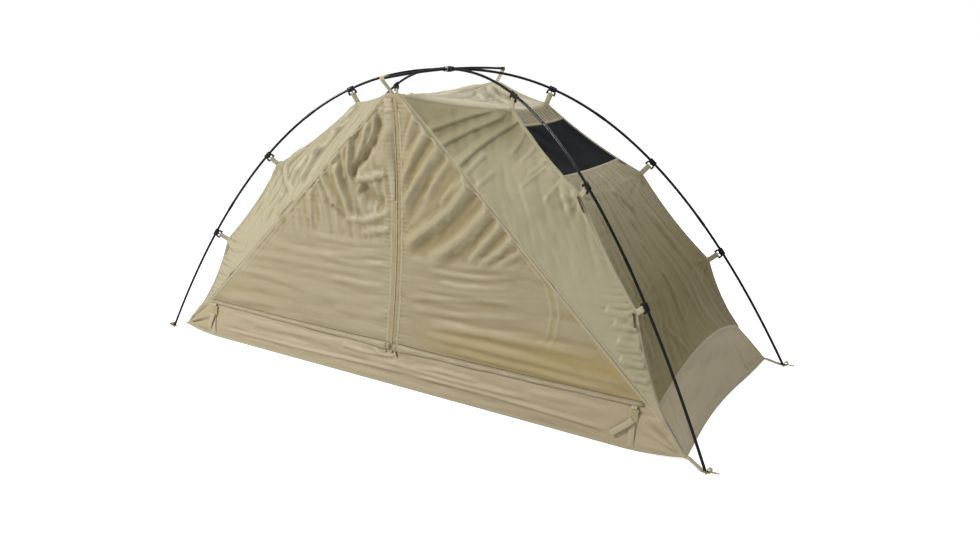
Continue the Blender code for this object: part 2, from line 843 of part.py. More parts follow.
def make_rear_wall():
    """The rear wall in one sheet, shaped like the front with its door closed."""
    points = []
    half = FLAP_COLUMNS // 3
    for row in range(len(RIDGE_STATIONS)):
        rise = rise_of(row)
        line = [side_point(row, 1 - step / SIDE_COLUMNS, -1, 1) for step in range(SIDE_COLUMNS)]
        line += [centre_point(rise, 1 - step / half, -1, 1) for step in range(half)]
        line += [centre_point(rise, step / half, 1, 1) for step in range(half)]
        line += [side_point(row, step / SIDE_COLUMNS, 1, 1) for step in range(SIDE_COLUMNS + 1)]
        points.append(line)
    cloth("rear_wall", "canopy", points, outward=Vector((0, 1, 0)))


def make_end_wall(name, side_x):
    """A sloping end wall up to the vent, with long folds down the slope."""
    points = []
    for row in range(VENT_ROW + 1):
        station = RIDGE_STATIONS[row]
        line = []
        for column in range(CROSS_COLUMNS + 1):
            across = column / CROSS_COLUMNS
            point = end_point(station, across, side_x)
            fold = 0.5 - 0.5 * math.cos(math.tau * END_FOLD_COUNT * across)
            inward = Vector((-side_x * END_FOLD_IN[0], 0, -END_FOLD_IN[1]))
            line.append(point + inward * END_FOLD * fold * settle(row / VENT_ROW, 0.25))
        points.append(line)
    cloth(name, "canopy", points, outward=Vector((side_x, 0, 0.5)))


def make_vent(name, side_x):
    """The mesh window between the end wall and the roof."""
    points = [
        [end_point(RIDGE_STATIONS[row], column / CROSS_COLUMNS, side_x)
         for column in range(CROSS_COLUMNS + 1)]
        for row in range(VENT_ROW, ROOF_ROW + 1)
    ]
    cloth(name, "mesh", points, outward=Vector((side_x, 0, 0.5)))


def make_roof():
    """The roof: a saddle between the two peaks, with a strip down to each vent."""
    last = 2 * SIDE_COLUMNS + 2
    points = []
    for row in range(CROSS_COLUMNS + 1):
        across = row / CROSS_COLUMNS
        line = [end_point(RIDGE_STATIONS[ROOF_ROW], across, -1)]
        for column in range(last + 1):
            point = mix(eave_point(column, -1), eave_point(column, 1), across)
            middle = math.sin(math.pi * column / last)
            sag = CROSS_SAG + (ROOF_SAG - CROSS_SAG) * middle
            point.z -= sag * arch(across)
            line.append(point)
        line.append(end_point(RIDGE_STATIONS[ROOF_ROW], across, 1))
        points.append(line)
    cloth("roof_panel", "canopy", points, outward=Vector((0, 0, 1)))


# Bathtub floor

def make_tub_long_wall(name, side_y):
    """A long wall of the bathtub, from the ground hem up to the canopy."""
    points = []
    for row in range(TUB_ROWS + 1):
        line = []
        for column in range(TUB_COLUMNS + 1):
            across = column / TUB_COLUMNS
            top = hem_point((2 * across - 1) * hem_half(), side_y)
            line.append(mix(tub_foot(across, side_y), top, row / TUB_ROWS))
        points.append(line)
    gaps = (SEAM_GAP, SEAM_GAP, LONG_FOOT_GAP, SEAM_GAP)
    cloth(name, "tub_cloth", points, gaps, outward=Vector((0, side_y, 0)))


def make_tub_end_wall(name, side_x):
    """An end wall of the bathtub, drawn in along the ground and arched up at the top."""
    points = []
    for row in range(TUB_ROWS + 1):
        line = []
        for column in range(CROSS_COLUMNS + 1):
            across = column / CROSS_COLUMNS
            top = end_point(0.0, across, side_x)
            line.append(mix(end_foot(across, side_x), top, row / TUB_ROWS))
        points.append(line)
    gaps = (SEAM_GAP, SEAM_GAP, END_FOOT_GAP, SEAM_GAP)
    cloth(name, "tub_cloth", points, gaps, outward=Vector((side_x, 0, 0)))


def make_floor():
    """The floor sheet, flat on the ground and lifted at its four corners."""
    points = []
    for row in range(CROSS_COLUMNS + 1):
        across = row / CROSS_COLUMNS
        share_y = 2 * across - 1
        edge = end_foot(across, 1)
        line = []
        for column in range(TUB_COLUMNS + 1):
            share_x = 2 * column / TUB_COLUMNS - 1
            lift = CORNER_LIFT * ramp(share_x, LONG_LIFT_START) * ramp(share_y, END_LIFT_START)
            line.append(Vector((share_x * edge.x, edge.y, FABRIC / 2 + lift)))
        points.append(line)
    gaps = (END_FOOT_GAP, END_FOOT_GAP, LONG_FOOT_GAP, LONG_FOOT_GAP)
    cloth("floor_sheet", "tub_cloth", points, gaps, outward=Vector((0, 0, 1)))


# Webbing

def ribbon(name, path, across, width, thickness):
    """A flat strip along a path, its width along one fixed direction."""
    points = [[point - across * width / 2, point + across * width / 2] for point in path]
    return cloth(name, "webbing", points, (0, 0, 0, 0), thickness)


def make_brow_strap(name, side_y):
    """The strap that hoods the brow pole's end and runs down to the canopy's peak."""
    end = brow_end(side_y)
    out = Vector((0, side_y, 0))
    up = Vector((0, 0, 1))
    clear = POLE_RADIUS + WEBBING / 2 + SEAT_GAP
    beyond = WEBBING / 2 + SEAT_GAP * 4
    rest = FABRIC / 2 + WEBBING / 2 + SEAT_GAP
    foot = peak(side_y) + up * rest + out * BROW_STRAP_OUT
    path = [
        end - out * BROW_STRAP_LAP + up * (clear + BROW_STRAP_RISE),
        end + out * beyond * 0.35 + up * (clear + BROW_STRAP_CROWN),
        end + out * beyond + up * clear * BROW_STRAP_BEND,
        end + out * beyond - up * clear * BROW_STRAP_BEND,
        end - out * BROW_STRAP_OUT - up * (clear + BROW_STRAP_UNDER),
        mix(end, foot, 0.6) - up * BROW_STRAP_SLACK,
        foot,
    ]
    ribbon(name, path, Vector((1, 0, 0)), TAB_WIDTH, WEBBING)


def make_corner_strap(name, side_x, side_y):
    """The strap from the floor's corner to the foot: a grommet, then a folded stake loop."""
    foot = pole_point(1.0, side_x, side_y)
    tangent = pole_tangent(1.0, side_x, side_y)
    seat = foot - tangent * (CORNER_STRAP_HEIGHT / -tangent.z)
    corner = tub_corner(side_x, side_y)
    out = Vector((side_x, 0, 0))
    up = Vector((0, 0, 1))
    start = corner + up * CORNER_STRAP_RISE - out * CORNER_STRAP_TUCK
    tip = seat + out * CORNER_STRAP_TIP
    centre = tip + up * STAKE_LOOP_RADIUS
    path = [start, mix(start, seat, 0.5) - up * CORNER_STRAP_SAG]
    path += [seat + out * step * CORNER_STRAP_PATCH for step in (-1, 0, 1)]
    for step in range(STAKE_LOOP_STEPS + 1):
        angle = STAKE_LOOP_TURN * step / STAKE_LOOP_STEPS
        path.append(centre + (out * math.sin(angle) - up * math.cos(angle)) * STAKE_LOOP_RADIUS)
    strap = ribbon(name, path, Vector((0, 1, 0)), TAB_WIDTH, WEBBING)
    hole = rod(seat - up * TAB_WIDTH / 2, seat + up * TAB_WIDTH / 2, GROMMET_RADIUS, GROMMET_SIDES)
    combine(strap, hole, "DIFFERENCE", f"{name}_grommet")


# Zip sliders

def wall_up():
    """The straight direction up the door zip, from hem to peak."""
    return (peak(-1) - hem_point(0.0, -1)).normalized()


def wall_out():
    """The level-ish direction out of the front wall, square to the zip."""
    up = wall_up()
    return Vector((0, -up.z, up.y))


def slider_seat(x):
    """The point on the front wall's face under a slider's lower end."""
    start = hem_point(x, -1) + wall_up() * SLIDER_RISE
    return start + wall_out() * (FABRIC / 2 + SLIDER_GAP)


def slider_body(x, long_way):
    """A slider's body on the front wall, its length along the given way."""
    out = wall_out()
    across = long_way.cross(out)
    centre = slider_seat(x) + out * SLIDER_THICKNESS / 2 + wall_up() * SLIDER_LENGTH / 2
    turn = Matrix((across, long_way, out)).transposed()
    size = (SLIDER_WIDTH, SLIDER_LENGTH, SLIDER_THICKNESS)
    return block(size, centre, turn, bevel=SLIDER_BEVEL), centre


def pull_plate(length):
    """A pull tag in its XY plane, hanging from its axis, with a hole low down."""
    half = PULL_WIDTH / 2
    tip = PULL_TIP_WIDTH / 2
    stem = -length * PULL_STEM_SHARE
    outline = [(half, PULL_END), (-half, PULL_END), (-half, stem), (-tip, -length), (tip, -length)]
    outline += [(half, stem)]
    ring = arc(PULL_HOLE_RADIUS, 0, math.tau * 5 / 6, 5)
    hole = [(x, y - length * PULL_HOLE_SHARE) for x, y in ring]
    return plate([outline, hole], PULL_THICKNESS)


def make_door_slider():
    """The upright zip's slider, with two lugs that carry its pull."""
    x = DOOR_SLIDER_LEFT + SLIDER_WIDTH / 2
    body, centre = slider_body(x, wall_up())
    out = wall_out()
    front = centre + out * SLIDER_THICKNESS / 2
    turn = Matrix((Vector((1, 0, 0)), wall_up(), out)).transposed()
    for side in (-1, 1):
        aside = side * (PULL_WIDTH / 2 + SEAT_GAP + LUG_WIDTH / 2)
        place = front + out * (LUG_HEIGHT / 2 - LUG_SINK) + Vector((aside, 0, 0))
        lug = block((LUG_WIDTH, LUG_LENGTH, LUG_HEIGHT + 2 * LUG_SINK), place, turn)
        combine(body, lug, "UNION", f"door_slider_lug_{'left' if side < 0 else 'right'}")
    finish(body, "door_zip_slider", "zip_metal")
    hinge = front + out * (PULL_THICKNESS / 2 + SEAT_GAP)
    pull = pull_plate(PULL_LENGTH)
    pull.matrix_world = Matrix.Translation(hinge) @ turn.to_4x4()
    finish(pull, "door_zip_pull", "zip_metal")
    return hinge


def make_hem_slider(name, side_x):
    """A bottom zip's slider with its hanging tag."""
    x = side_x * HEM_SLIDER_OFFSET
    body, centre = slider_body(x, Vector((1, 0, 0)))
    out = wall_out()
    turn = Matrix((Vector((1, 0, 0)), wall_up(), out)).transposed()
    tag = pull_plate(PULL_LENGTH)
    place = centre + out * (SLIDER_THICKNESS / 2 + PULL_THICKNESS / 2 - TAG_SINK)
    tag.matrix_world = Matrix.Translation(place) @ turn.to_4x4()
    combine(body, tag, "UNION", f"{name}_tag")
    finish(body, name, "zip_metal")


# Buckles

def tub_up(x):
    """The direction up the front wall of the bathtub."""
    foot = Vector((x, tub_corner(1, -1).y, FABRIC / 2))
    return (hem_point(x, -1) - foot).normalized()


def buckle_place():
    """How far a buckle sits from the middle of the tent."""
    return hem_half() - BUCKLE_INSET


def cavity_width():
    """The width inside the female half."""
    return BUCKLE_WIDTH - 2 * BUCKLE_WALL


def cavity_height():
    """The height inside the female half."""
    return BUCKLE_THICKNESS - 2 * BUCKLE_WALL


def buckle_frame(side_x, down):
    """A matrix on the front wall of the bathtub: X along it, Y up it, Z out of it."""
    x = side_x * buckle_place()
    up = tub_up(x)
    up = Vector((0, up.y, up.z)).normalized()
    out = Vector((0, -up.z, up.y))
    origin = hem_point(x, -1) - up * down + out * (FABRIC / 2 + BUCKLE_STAND_OFF)
    return frame_matrix(Vector((1, 0, 0)), up, out, origin)


def make_female(prefix, frame, centre_down):
    """The female half, with its cavity, its side windows and the loop it hangs on."""
    low = -BUCKLE_LENGTH / 2
    depth = PRONG_LENGTH + 2 * BUCKLE_CLEARANCE
    size = (BUCKLE_WIDTH, BUCKLE_LENGTH, BUCKLE_THICKNESS)
    female = block(size, bevel=BUCKLE_BEVEL)
    hollow = block((cavity_width(), depth * 2, cavity_height()), (0, low, 0))
    window_place = (0, low + depth * WINDOW_SHARE, 0)
    window = block((BUCKLE_WIDTH * 2, WINDOW_LENGTH, WINDOW_HEIGHT), window_place)
    loop_top = centre_down - FABRIC - SEAM_GAP
    loop_end = -BUCKLE_STAND_OFF + WEBBING / 2 + SEAT_GAP
    loop = [
        Vector((0, BUCKLE_LENGTH / 2 - BUCKLE_WALL / 2, 0)),
        Vector((0, mix(BUCKLE_LENGTH / 2, loop_top, 0.5), loop_end * 0.6)),
        Vector((0, loop_top, loop_end)),
    ]
    loop_strip = ribbon("loop", loop, Vector((1, 0, 0)), STRAP_WIDTH, WEBBING)
    for shape in (hollow, window, loop_strip, female):
        shape.matrix_world = frame @ shape.matrix_world
    combine(female, hollow, "DIFFERENCE", f"{prefix}_cavity")
    combine(female, window, "DIFFERENCE", f"{prefix}_window")
    combine(female, loop_strip, "UNION", f"{prefix}_hem_loop")
    finish(female, f"{prefix}_buckle_female", "buckle")


def make_male(prefix, frame, base_top):
    """The male half: two prongs on a base, with a slot right through it for the strap."""
    middle = base_top - BUCKLE_BASE / 2
    base = block((BUCKLE_WIDTH, BUCKLE_BASE, BASE_THICKNESS), (0, middle, 0), bevel=BASE_BEVEL)
    slot_size = (STRAP_WIDTH + 2 * BUCKLE_CLEARANCE, BUCKLE_BASE * 2, STRAP_SLOT)
    slot = block(slot_size, (0, middle, 0))
    base.matrix_world = frame @ base.matrix_world
    slot.matrix_world = frame @ slot.matrix_world
    combine(base, slot, "DIFFERENCE", f"{prefix}_strap_slot")
    thick = cavity_height() - 2 * BUCKLE_CLEARANCE
    aside = cavity_width() / 2 - BUCKLE_CLEARANCE - PRONG_WIDTH / 2
    along = base_top + (PRONG_LENGTH - PRONG_ROOT) / 2 - BUCKLE_CLEARANCE
    for side, word in ((-1, "left"), (1, "right")):
        prong = block((PRONG_WIDTH, PRONG_LENGTH + PRONG_ROOT, thick), (side * aside, along, 0))
        prong.matrix_world = frame @ prong.matrix_world
        combine(base, prong, "UNION", f"{prefix}_prong_{word}")
    finish(base, f"{prefix}_buckle_male", "buckle")


def make_buckle_strap(prefix, side_x, frame, centre_down, base_top):
    """The strap from the ground hem up through the male half."""
    x = side_x * buckle_place()
    strap_top = base_top - STRAP_TOP_SINK
    wall_length = hem_point(x, -1).z / tub_up(x).z
    strap_foot = centre_down - wall_length + STRAP_END_HEIGHT
    near_wall = -BUCKLE_STAND_OFF + WEBBING / 2 + STRAP_REST
    path = [
        Vector((0, strap_top, 0)),
        Vector((0, strap_top - STRAP_STRAIGHT, 0)),
        Vector((0, mix(strap_top - STRAP_STRAIGHT, strap_foot, 0.5), near_wall * 0.7)),
        Vector((0, strap_foot, near_wall)),
    ]
    strap = ribbon(f"{prefix}_buckle_strap", path, Vector((1, 0, 0)), STRAP_WIDTH, WEBBING)
    strap.matrix_world = frame @ strap.matrix_world


def make_buckle(prefix, side_x):
    """A side-release buckle, hanging from the hem on the front wall of the bathtub."""
    centre_down = BUCKLE_DROP + BUCKLE_LENGTH / 2
    base_top = -BUCKLE_LENGTH / 2 - BUCKLE_CLEARANCE
    frame = buckle_frame(side_x, centre_down)
    make_female(prefix, frame, centre_down)
    make_male(prefix, frame, base_top)
    make_buckle_strap(prefix, side_x, frame, centre_down, base_top)


def mark_axis(name, place):
    """An empty on a joint's axis, which carries a moving piece."""
    empty = bpy.data.objects.new(name, None)
    empty.empty_display_size = 0.02
    empty.location = place
    TENT.objects.link(empty)
    return empty


def carry(piece, empty):
    """Parents a piece to its axis without moving it."""
    bpy.context.view_layer.update()
    piece.parent = empty
    piece.matrix_parent_inverse = empty.matrix_world.inverted()


def main():
    clips = clip_mesh()
    corners = {
        "front_left": (-1, -1),
        "front_right": (1, -1),
        "rear_left": (-1, 1),
        "rear_right": (1, 1),
    }
    for prefix, (side_x, side_y) in corners.items():
        make_leg(prefix, side_x, side_y)
        make_clips(prefix, clips, side_x, side_y)
        make_corner_strap(f"{prefix}_corner_strap", side_x, side_y)
    make_brow_pole()
    make_hub()
    make_hub_band()
    for side_x, side in ((-1, "left"), (1, "right")):
        make_side_panel(f"front_panel_{side}", side_x, -1)
        make_flap(f"door_flap_{side}", side_x)
        make_end_wall(f"end_wall_{side}", side_x)
        make_vent(f"vent_mesh_{side}", side_x)
        make_tub_end_wall(f"tub_end_{side}", side_x)
        make_hem_slider(f"hem_zip_slider_{side}", side_x)
        make_buckle(side, side_x)
    make_rear_wall()
    make_roof()
    make_floor()
    make_tub_long_wall("tub_front", -1)
    make_tub_long_wall("tub_rear", 1)
    make_brow_strap("brow_strap_front", -1)
    make_brow_strap("brow_strap_rear", 1)
    hinge = make_door_slider()
    carry(bpy.data.objects["door_zip_pull"], mark_axis("door_zip_pull_axis", hinge))
    bpy.data.meshes.remove(clips)


main()
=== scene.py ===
# %% [markdown]
# This lesson dresses a one-person bivvy tent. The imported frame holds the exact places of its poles,
# clips, panels and buckles. Here every one of them gets the shape and finish that it has close up:
# nylon with its creases, sewn tapes, webbing, moulded clips and a coil zip. All sizes are in metres,
# +X runs along the tent, the door faces -Y and +Z is up.

# %% Open the frame
import json
import math

import bpy
import numpy as np
from mathutils import Matrix, Vector, noise

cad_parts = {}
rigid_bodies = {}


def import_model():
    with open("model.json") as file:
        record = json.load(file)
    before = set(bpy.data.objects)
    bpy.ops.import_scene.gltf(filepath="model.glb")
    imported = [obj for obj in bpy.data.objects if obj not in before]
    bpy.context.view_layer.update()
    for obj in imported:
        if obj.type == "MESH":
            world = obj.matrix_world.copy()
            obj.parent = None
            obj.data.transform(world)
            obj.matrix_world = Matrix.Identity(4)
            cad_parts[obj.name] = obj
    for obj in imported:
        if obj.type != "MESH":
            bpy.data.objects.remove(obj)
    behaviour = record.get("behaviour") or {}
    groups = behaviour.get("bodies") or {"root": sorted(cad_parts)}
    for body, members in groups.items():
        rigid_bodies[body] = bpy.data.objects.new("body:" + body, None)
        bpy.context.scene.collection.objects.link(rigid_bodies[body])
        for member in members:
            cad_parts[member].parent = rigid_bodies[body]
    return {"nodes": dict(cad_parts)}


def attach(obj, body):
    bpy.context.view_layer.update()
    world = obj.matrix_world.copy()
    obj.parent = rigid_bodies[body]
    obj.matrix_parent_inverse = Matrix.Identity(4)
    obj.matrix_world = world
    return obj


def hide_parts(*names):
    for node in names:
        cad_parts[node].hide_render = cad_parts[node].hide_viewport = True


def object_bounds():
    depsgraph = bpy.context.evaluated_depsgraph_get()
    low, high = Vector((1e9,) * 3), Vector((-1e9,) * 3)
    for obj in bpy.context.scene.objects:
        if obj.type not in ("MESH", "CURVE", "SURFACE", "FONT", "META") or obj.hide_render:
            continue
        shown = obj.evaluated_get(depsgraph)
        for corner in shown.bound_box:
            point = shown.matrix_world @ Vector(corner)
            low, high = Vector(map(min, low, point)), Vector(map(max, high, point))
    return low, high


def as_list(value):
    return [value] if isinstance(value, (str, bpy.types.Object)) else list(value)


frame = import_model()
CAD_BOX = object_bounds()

# %% [markdown]
# The camera comes first, because it decides what is seen. The picture was taken from the
# right of the door, a little above the tent, with a short lens close by, so the near pole foot looks
# large. A camera in Blender looks along its own -Z axis: it is tipped up from straight down, turned
# about the vertical, and last rolled by less than a degree.

# %% Camera
CAMERA_PLACE = (1.7969, -2.5345, 1.2317)
CAMERA_TURN = math.radians(32.747)
CAMERA_DOWN = math.radians(16.701)
CAMERA_ROLL = math.radians(-0.751)
CAMERA_LENS = 29.734
SENSOR_WIDTH = 36.0

scene = bpy.context.scene


def add_object(name, data):
    """A new object in the scene."""
    made = bpy.data.objects.new(name, data)
    scene.collection.objects.link(made)
    return made


camera_data = bpy.data.cameras.new("camera")
camera_data.lens = CAMERA_LENS
camera_data.sensor_width = SENSOR_WIDTH
camera = add_object("camera", camera_data)
tip = Matrix.Rotation(math.pi / 2 - CAMERA_DOWN, 4, "X")
turn = Matrix.Rotation(CAMERA_TURN, 4, "Z")
roll = Matrix.Rotation(CAMERA_ROLL, 4, "Z")
camera.matrix_world = Matrix.Translation(CAMERA_PLACE) @ turn @ tip @ roll
scene.camera = camera
scene.view_settings.view_transform = "Standard"
print("camera looks along", [round(x, 3) for x in -camera.matrix_world.col[2].xyz])

# %% [markdown]
# Light for a product picture is broad and soft. A large panel of light hangs in front of the tent on
# the left and above, because the left panels and the roof are the brightest cloth and the right end
# lies in shade. A weaker one on the right fills the shadows, one overhead lights the roof and the
# upper ends, and a pale world does the rest.

# %% Lights and world
# Each lamp: its name, its place, the side of its square in metres and its power in watts
LAMPS = (("key_light", (-2.4, -3.1, 3.2), 1.1, 172.0),
         ("fill_light", (3.6, -2.4, 1.8), 3.0, 17.0),
         ("top_light", (0.9, 1.3, 3.9), 1.8, 60.0))
LOOK_AT = Vector((0.0, 0.0, 0.5))
WORLD_LIGHT = 0.29

for name, place, size, power in LAMPS:
    lamp = bpy.data.lights.new(name, "AREA")
    lamp.energy = power
    lamp.size = size
    holder = add_object(name, lamp)
    holder.location = place
    holder.rotation_euler = (LOOK_AT - Vector(place)).to_track_quat("-Z", "Y").to_euler()

world = bpy.data.worlds.new("studio")
scene.world = world
world.use_nodes = True
sky = world.node_tree
sky.nodes.clear()
rays = sky.nodes.new("ShaderNodeLightPath")
seen = sky.nodes.new("ShaderNodeBackground")
seen.inputs["Strength"].default_value = 1.0
lit = sky.nodes.new("ShaderNodeBackground")
lit.inputs["Strength"].default_value = WORLD_LIGHT
choose = sky.nodes.new("ShaderNodeMixShader")
out = sky.nodes.new("ShaderNodeOutputWorld")
for background in (seen, lit):
    background.inputs["Color"].default_value = (1.0, 1.0, 1.0, 1.0)
sky.links.new(rays.outputs["Is Camera Ray"], choose.inputs["Fac"])
sky.links.new(lit.outputs[0], choose.inputs[1])
sky.links.new(seen.outputs[0], choose.inputs[2])
sky.links.new(choose.outputs[0], out.inputs["Surface"])

# %% [markdown]
# The driving sizes below are the ones that the frame was built from. Each surface that is drawn here
# starts on the same lines: the crossed poles, the ridge seams between the clips' tabs, the two peaks
# under the short brow pole, and the hem where the canopy meets the bathtub floor.

# %% Driving sizes
SPAN_LENGTH = 2.400
SPAN_WIDTH = 0.918
PEAK_HEIGHT = 1.104
CURVE_POWER = 2.28
POLE_RADIUS = 0.00475
BROW_HALF = 0.384
BROW_DROP = 0.0145
CLIP_SHARES = (0.799, 0.592, 0.304)
TAB_LENGTH = 0.054
TAB_LEAN = 0.010
CORNER_INSET = (0.067, 0.020)
CORNER_LIFT = 0.0245
HEM_INSET = (0.104, 0.031)
HEM_HEIGHT = 0.1456
HEM_SAG = 0.012
PEAK_INSET = 0.049
PEAK_FALL = 0.052
PEAK_HALF = 0.0225
DOOR_TOE = 0.025
RIDGE_SAG = 0.012
EAVE_SAG = 0.008
CROSS_SAG = 0.006
ROOF_SAG = 0.028
WALL_HOLLOW = 0.030
END_HEM_ARCH = 0.072
END_FOOT_HOLLOW = 0.041
VENT_LOW = 0.24
VENT_HIGH = 0.80
CLOTH = 0.0008
WEBBING = 0.0016
UP = np.array([0.0, 0.0, 1.0])
SIDES = (("left", -1), ("right", 1))


def lerp(a, b, share):
    """The points a share of the way from a to b."""
    share = np.asarray(share, float)[..., None]
    return a * (1 - share) + b * share


def arch(share):
    """0 at both ends of a run and 1 in its middle."""
    return 4 * share * (1 - share)


def smooth(value, low, high):
    """Rises smoothly from 0 at low to 1 at high."""
    share = np.clip((value - low) / (high - low), 0, 1)
    return share * share * (3 - 2 * share)


def unit(vectors):
    """Vectors of length 1."""
    return vectors / np.maximum(np.linalg.norm(vectors, axis=-1, keepdims=True), 1e-12)


def stack(x, y, z):
    """Points from three arrays of coordinates."""
    x, y, z = np.broadcast_arrays(x, y, z)
    return np.stack([x, y, z], -1).astype(float)


print("cabin length", SPAN_LENGTH - 2 * CORNER_INSET[0])

# %% [markdown]
# A pole bent between its feet isn't a circle: its ends are straighter than its middle. One power
# curve gives that shape. A clip's tab meets the ridge seam a few centimetres in from the pole, so the
# seam's corner points come straight from the pole curve.

# %% Lines of the poles and seams
def pole_point(share, side_x, side_y):
    """The pole's centre line, a share of the way out from the hub to the foot."""
    share = np.asarray(share, float)
    height = PEAK_HEIGHT * (1 - np.abs(share) ** CURVE_POWER)
    return stack(side_x * share * SPAN_LENGTH / 2, side_y * share * SPAN_WIDTH / 2, height)


def pole_tangent(share, side_x, side_y):
    """The pole's direction, outwards and down."""
    step = 0.001
    ahead = pole_point(np.asarray(share) + step, side_x, side_y)
    return unit(ahead - pole_point(np.asarray(share) - step, side_x, side_y))


def leg_out(side_x, side_y):
    """The level direction from the hub towards a foot."""
    return unit(np.array([side_x * SPAN_LENGTH, side_y * SPAN_WIDTH, 0.0]))


def pole_inward(share, side_x, side_y):
    """The direction square to the pole, in its plane, towards the tent."""
    tangent = pole_tangent(share, side_x, side_y)
    out = leg_out(side_x, side_y)
    return out * tangent[..., 2:] - UP * (tangent @ out)[..., None]


def tab_seat(share, side_x, side_y):
    """Where a clip's webbing tab is sewn to the ridge seam."""
    out = leg_out(side_x, side_y)
    lean = np.array([out[1] * side_x * side_y, -out[0] * side_x * side_y, 0.0])
    inward = pole_inward(share, side_x, side_y) * TAB_LENGTH
    return pole_point(share, side_x, side_y) + inward + lean * TAB_LEAN


def tub_corner(side_x, side_y):
    """The corner of the bathtub floor, lifted by its strap."""
    x = side_x * (SPAN_LENGTH / 2 - CORNER_INSET[0])
    y = side_y * (SPAN_WIDTH / 2 - CORNER_INSET[1])
    return np.array([x, y, CORNER_LIFT])


def hem_corner(side_x, side_y):
    """Where the ridge seam meets the bathtub's top edge."""
    corner = tub_corner(side_x, side_y)
    return np.array([corner[0] - side_x * HEM_INSET[0], corner[1] - side_y * HEM_INSET[1], HEM_HEIGHT])


def brow_end(side_y):
    """The end of the brow pole."""
    return np.array([0.0, side_y * BROW_HALF, PEAK_HEIGHT - BROW_DROP])


def peak(side_y, x=0.0):
    """The canopy's peak under an end of the brow pole."""
    end = brow_end(side_y)
    return stack(x, end[1] - side_y * PEAK_INSET, end[2] - PEAK_FALL)


def hem_point(x, side_y):
    """The top edge of the bathtub's long wall."""
    corner = hem_corner(1, side_y)
    return stack(x, corner[1], corner[2] - HEM_SAG * (1 - (np.asarray(x) / corner[0]) ** 2))


HEM_HALF = hem_corner(1, 1)[0]
STATION_ROWS = [step / 4 for step in range(8)]
STATION_ROWS += [2.0, 2 + VENT_LOW, 2 + (VENT_LOW + VENT_HIGH) / 2, 2 + VENT_HIGH, 3.0]


def station_of(rise):
    """The ridge's station for a share of the wall's height: 1, 2 and 3 are the clips' tabs."""
    rows = np.linspace(0, 1, len(STATION_ROWS))
    return np.interp(rise, rows, STATION_ROWS)


def ridge_point(station, side_x, side_y):
    """The ridge seam: it hangs in three shallow curves between the hem and the tabs."""
    station = np.asarray(station, float)
    shares = np.array([1.0, *CLIP_SHARES])
    seats = np.array([hem_corner(side_x, side_y), *tab_seat(shares[1:], side_x, side_y)])
    number = np.clip(station.astype(int), 0, 2)
    part = station - number
    inward = pole_inward((shares[number] + shares[number + 1]) / 2, side_x, side_y)
    hang = (RIDGE_SAG * arch(part))[..., None]
    return lerp(seats[number], seats[number + 1], part) + inward * hang


def door_seam(rise, side_x, side_y):
    """The straight seam from near the hem's corner up to the peak."""
    toe = hem_point(side_x * (HEM_HALF - DOOR_TOE), side_y)
    return lerp(toe, peak(side_y, side_x * PEAK_HALF), rise)


def zip_line(rise, side_y):
    """The upright line up the middle of a long wall."""
    rise = np.asarray(rise, float)
    hollow = stack(0.0, side_y, 0.0) * (WALL_HOLLOW * arch(rise))[..., None]
    return lerp(hem_point(0.0, side_y), peak(side_y), rise) - hollow


print("hem half", round(float(HEM_HALF), 4), "peak", peak(-1).round(4))

# %% [markdown]
# Each cloth panel is a smooth surface over two shares, u across it and v up it. Written as formulas,
# the surfaces can be drawn as finely as the creases need, and neighbours share their edges exactly.

# %% Base surfaces
def side_surface(side_x, side_y):
    """The panel between the door seam, at u 0, and the ridge, at u 1."""
    def surface(u, v):
        points = lerp(door_seam(v, side_x, side_y), ridge_point(station_of(v), side_x, side_y), u)
        points[..., 2] -= EAVE_SAG * arch(u) * v ** 4
        return points
    return surface


def centre_surface(side_x, side_y):
    """The triangle between the upright line, at u 0, and the door seam, at u 1."""
    def surface(u, v):
        points = lerp(zip_line(v, side_y), door_seam(v, side_x, side_y), u)
        foot = lerp(hem_point(0.0, side_y), door_seam(0.0, side_x, side_y), u)
        hem = hem_point(points[..., 0], side_y)
        points[..., 2] += (hem[..., 2] - foot[..., 2]) * (1 - v) ** 6
        return points
    return surface


def end_points(station, across, side_x):
    """The sloping end between the front ridge and the rear one."""
    points = lerp(ridge_point(station, side_x, -1), ridge_point(station, side_x, 1), across)
    low = np.maximum(0.0, 1 - station / (2 + VENT_LOW))
    points[..., 2] += (END_HEM_ARCH + CROSS_SAG) * arch(across) * low ** 3
    points[..., 2] -= CROSS_SAG * arch(across)
    return points


def end_surface(side_x, low, high):
    """Part of the sloping end, between two stations of the ridges."""
    def surface(u, v):
        return end_points(low + (high - low) * v, u, side_x)
    return surface


def eave_point(u, side_y):
    """The roof's long edge: from the left vent over the left tab, the peak and the right tab."""
    u = np.asarray(u, float)
    side_x = np.where(u < 0.5, -1, 1)
    half = np.abs(u - 0.5) / 0.5
    peak_share, tab_share = 0.06, 0.88
    line = np.empty(u.shape + (3,))
    for sign in (-1, 1):
        top = side_surface(sign, side_y)
        across = np.clip((half - peak_share) / (tab_share - peak_share), 0, 1)
        level = top(across, np.ones_like(u))
        flat = peak(side_y, sign * PEAK_HALF * np.clip(half / peak_share, 0, 1))
        strip = ridge_point(3.0 - (1 - VENT_HIGH) * np.clip((half - tab_share) / (1 - tab_share), 0, 1),
                            sign, side_y)
        chosen = np.where((half < peak_share)[..., None], flat, level)
        chosen = np.where((half > tab_share)[..., None], strip, chosen)
        line = np.where((side_x == sign)[..., None], chosen, line)
    return line


def roof_surface(u, v):
    """The roof, from the front eave at v 0 to the rear one, sagging most in its middle."""
    points = lerp(eave_point(u, -1), eave_point(u, 1), v)
    sag = CROSS_SAG + (ROOF_SAG - CROSS_SAG) * np.sin(np.pi * u)
    points[..., 2] -= sag * arch(v)
    return points


def lift_of(share, start):
    """How much of the corner's lift a point of the ground hem has."""
    return np.maximum(0.0, (np.abs(share) - start) / (1 - start)) ** 2


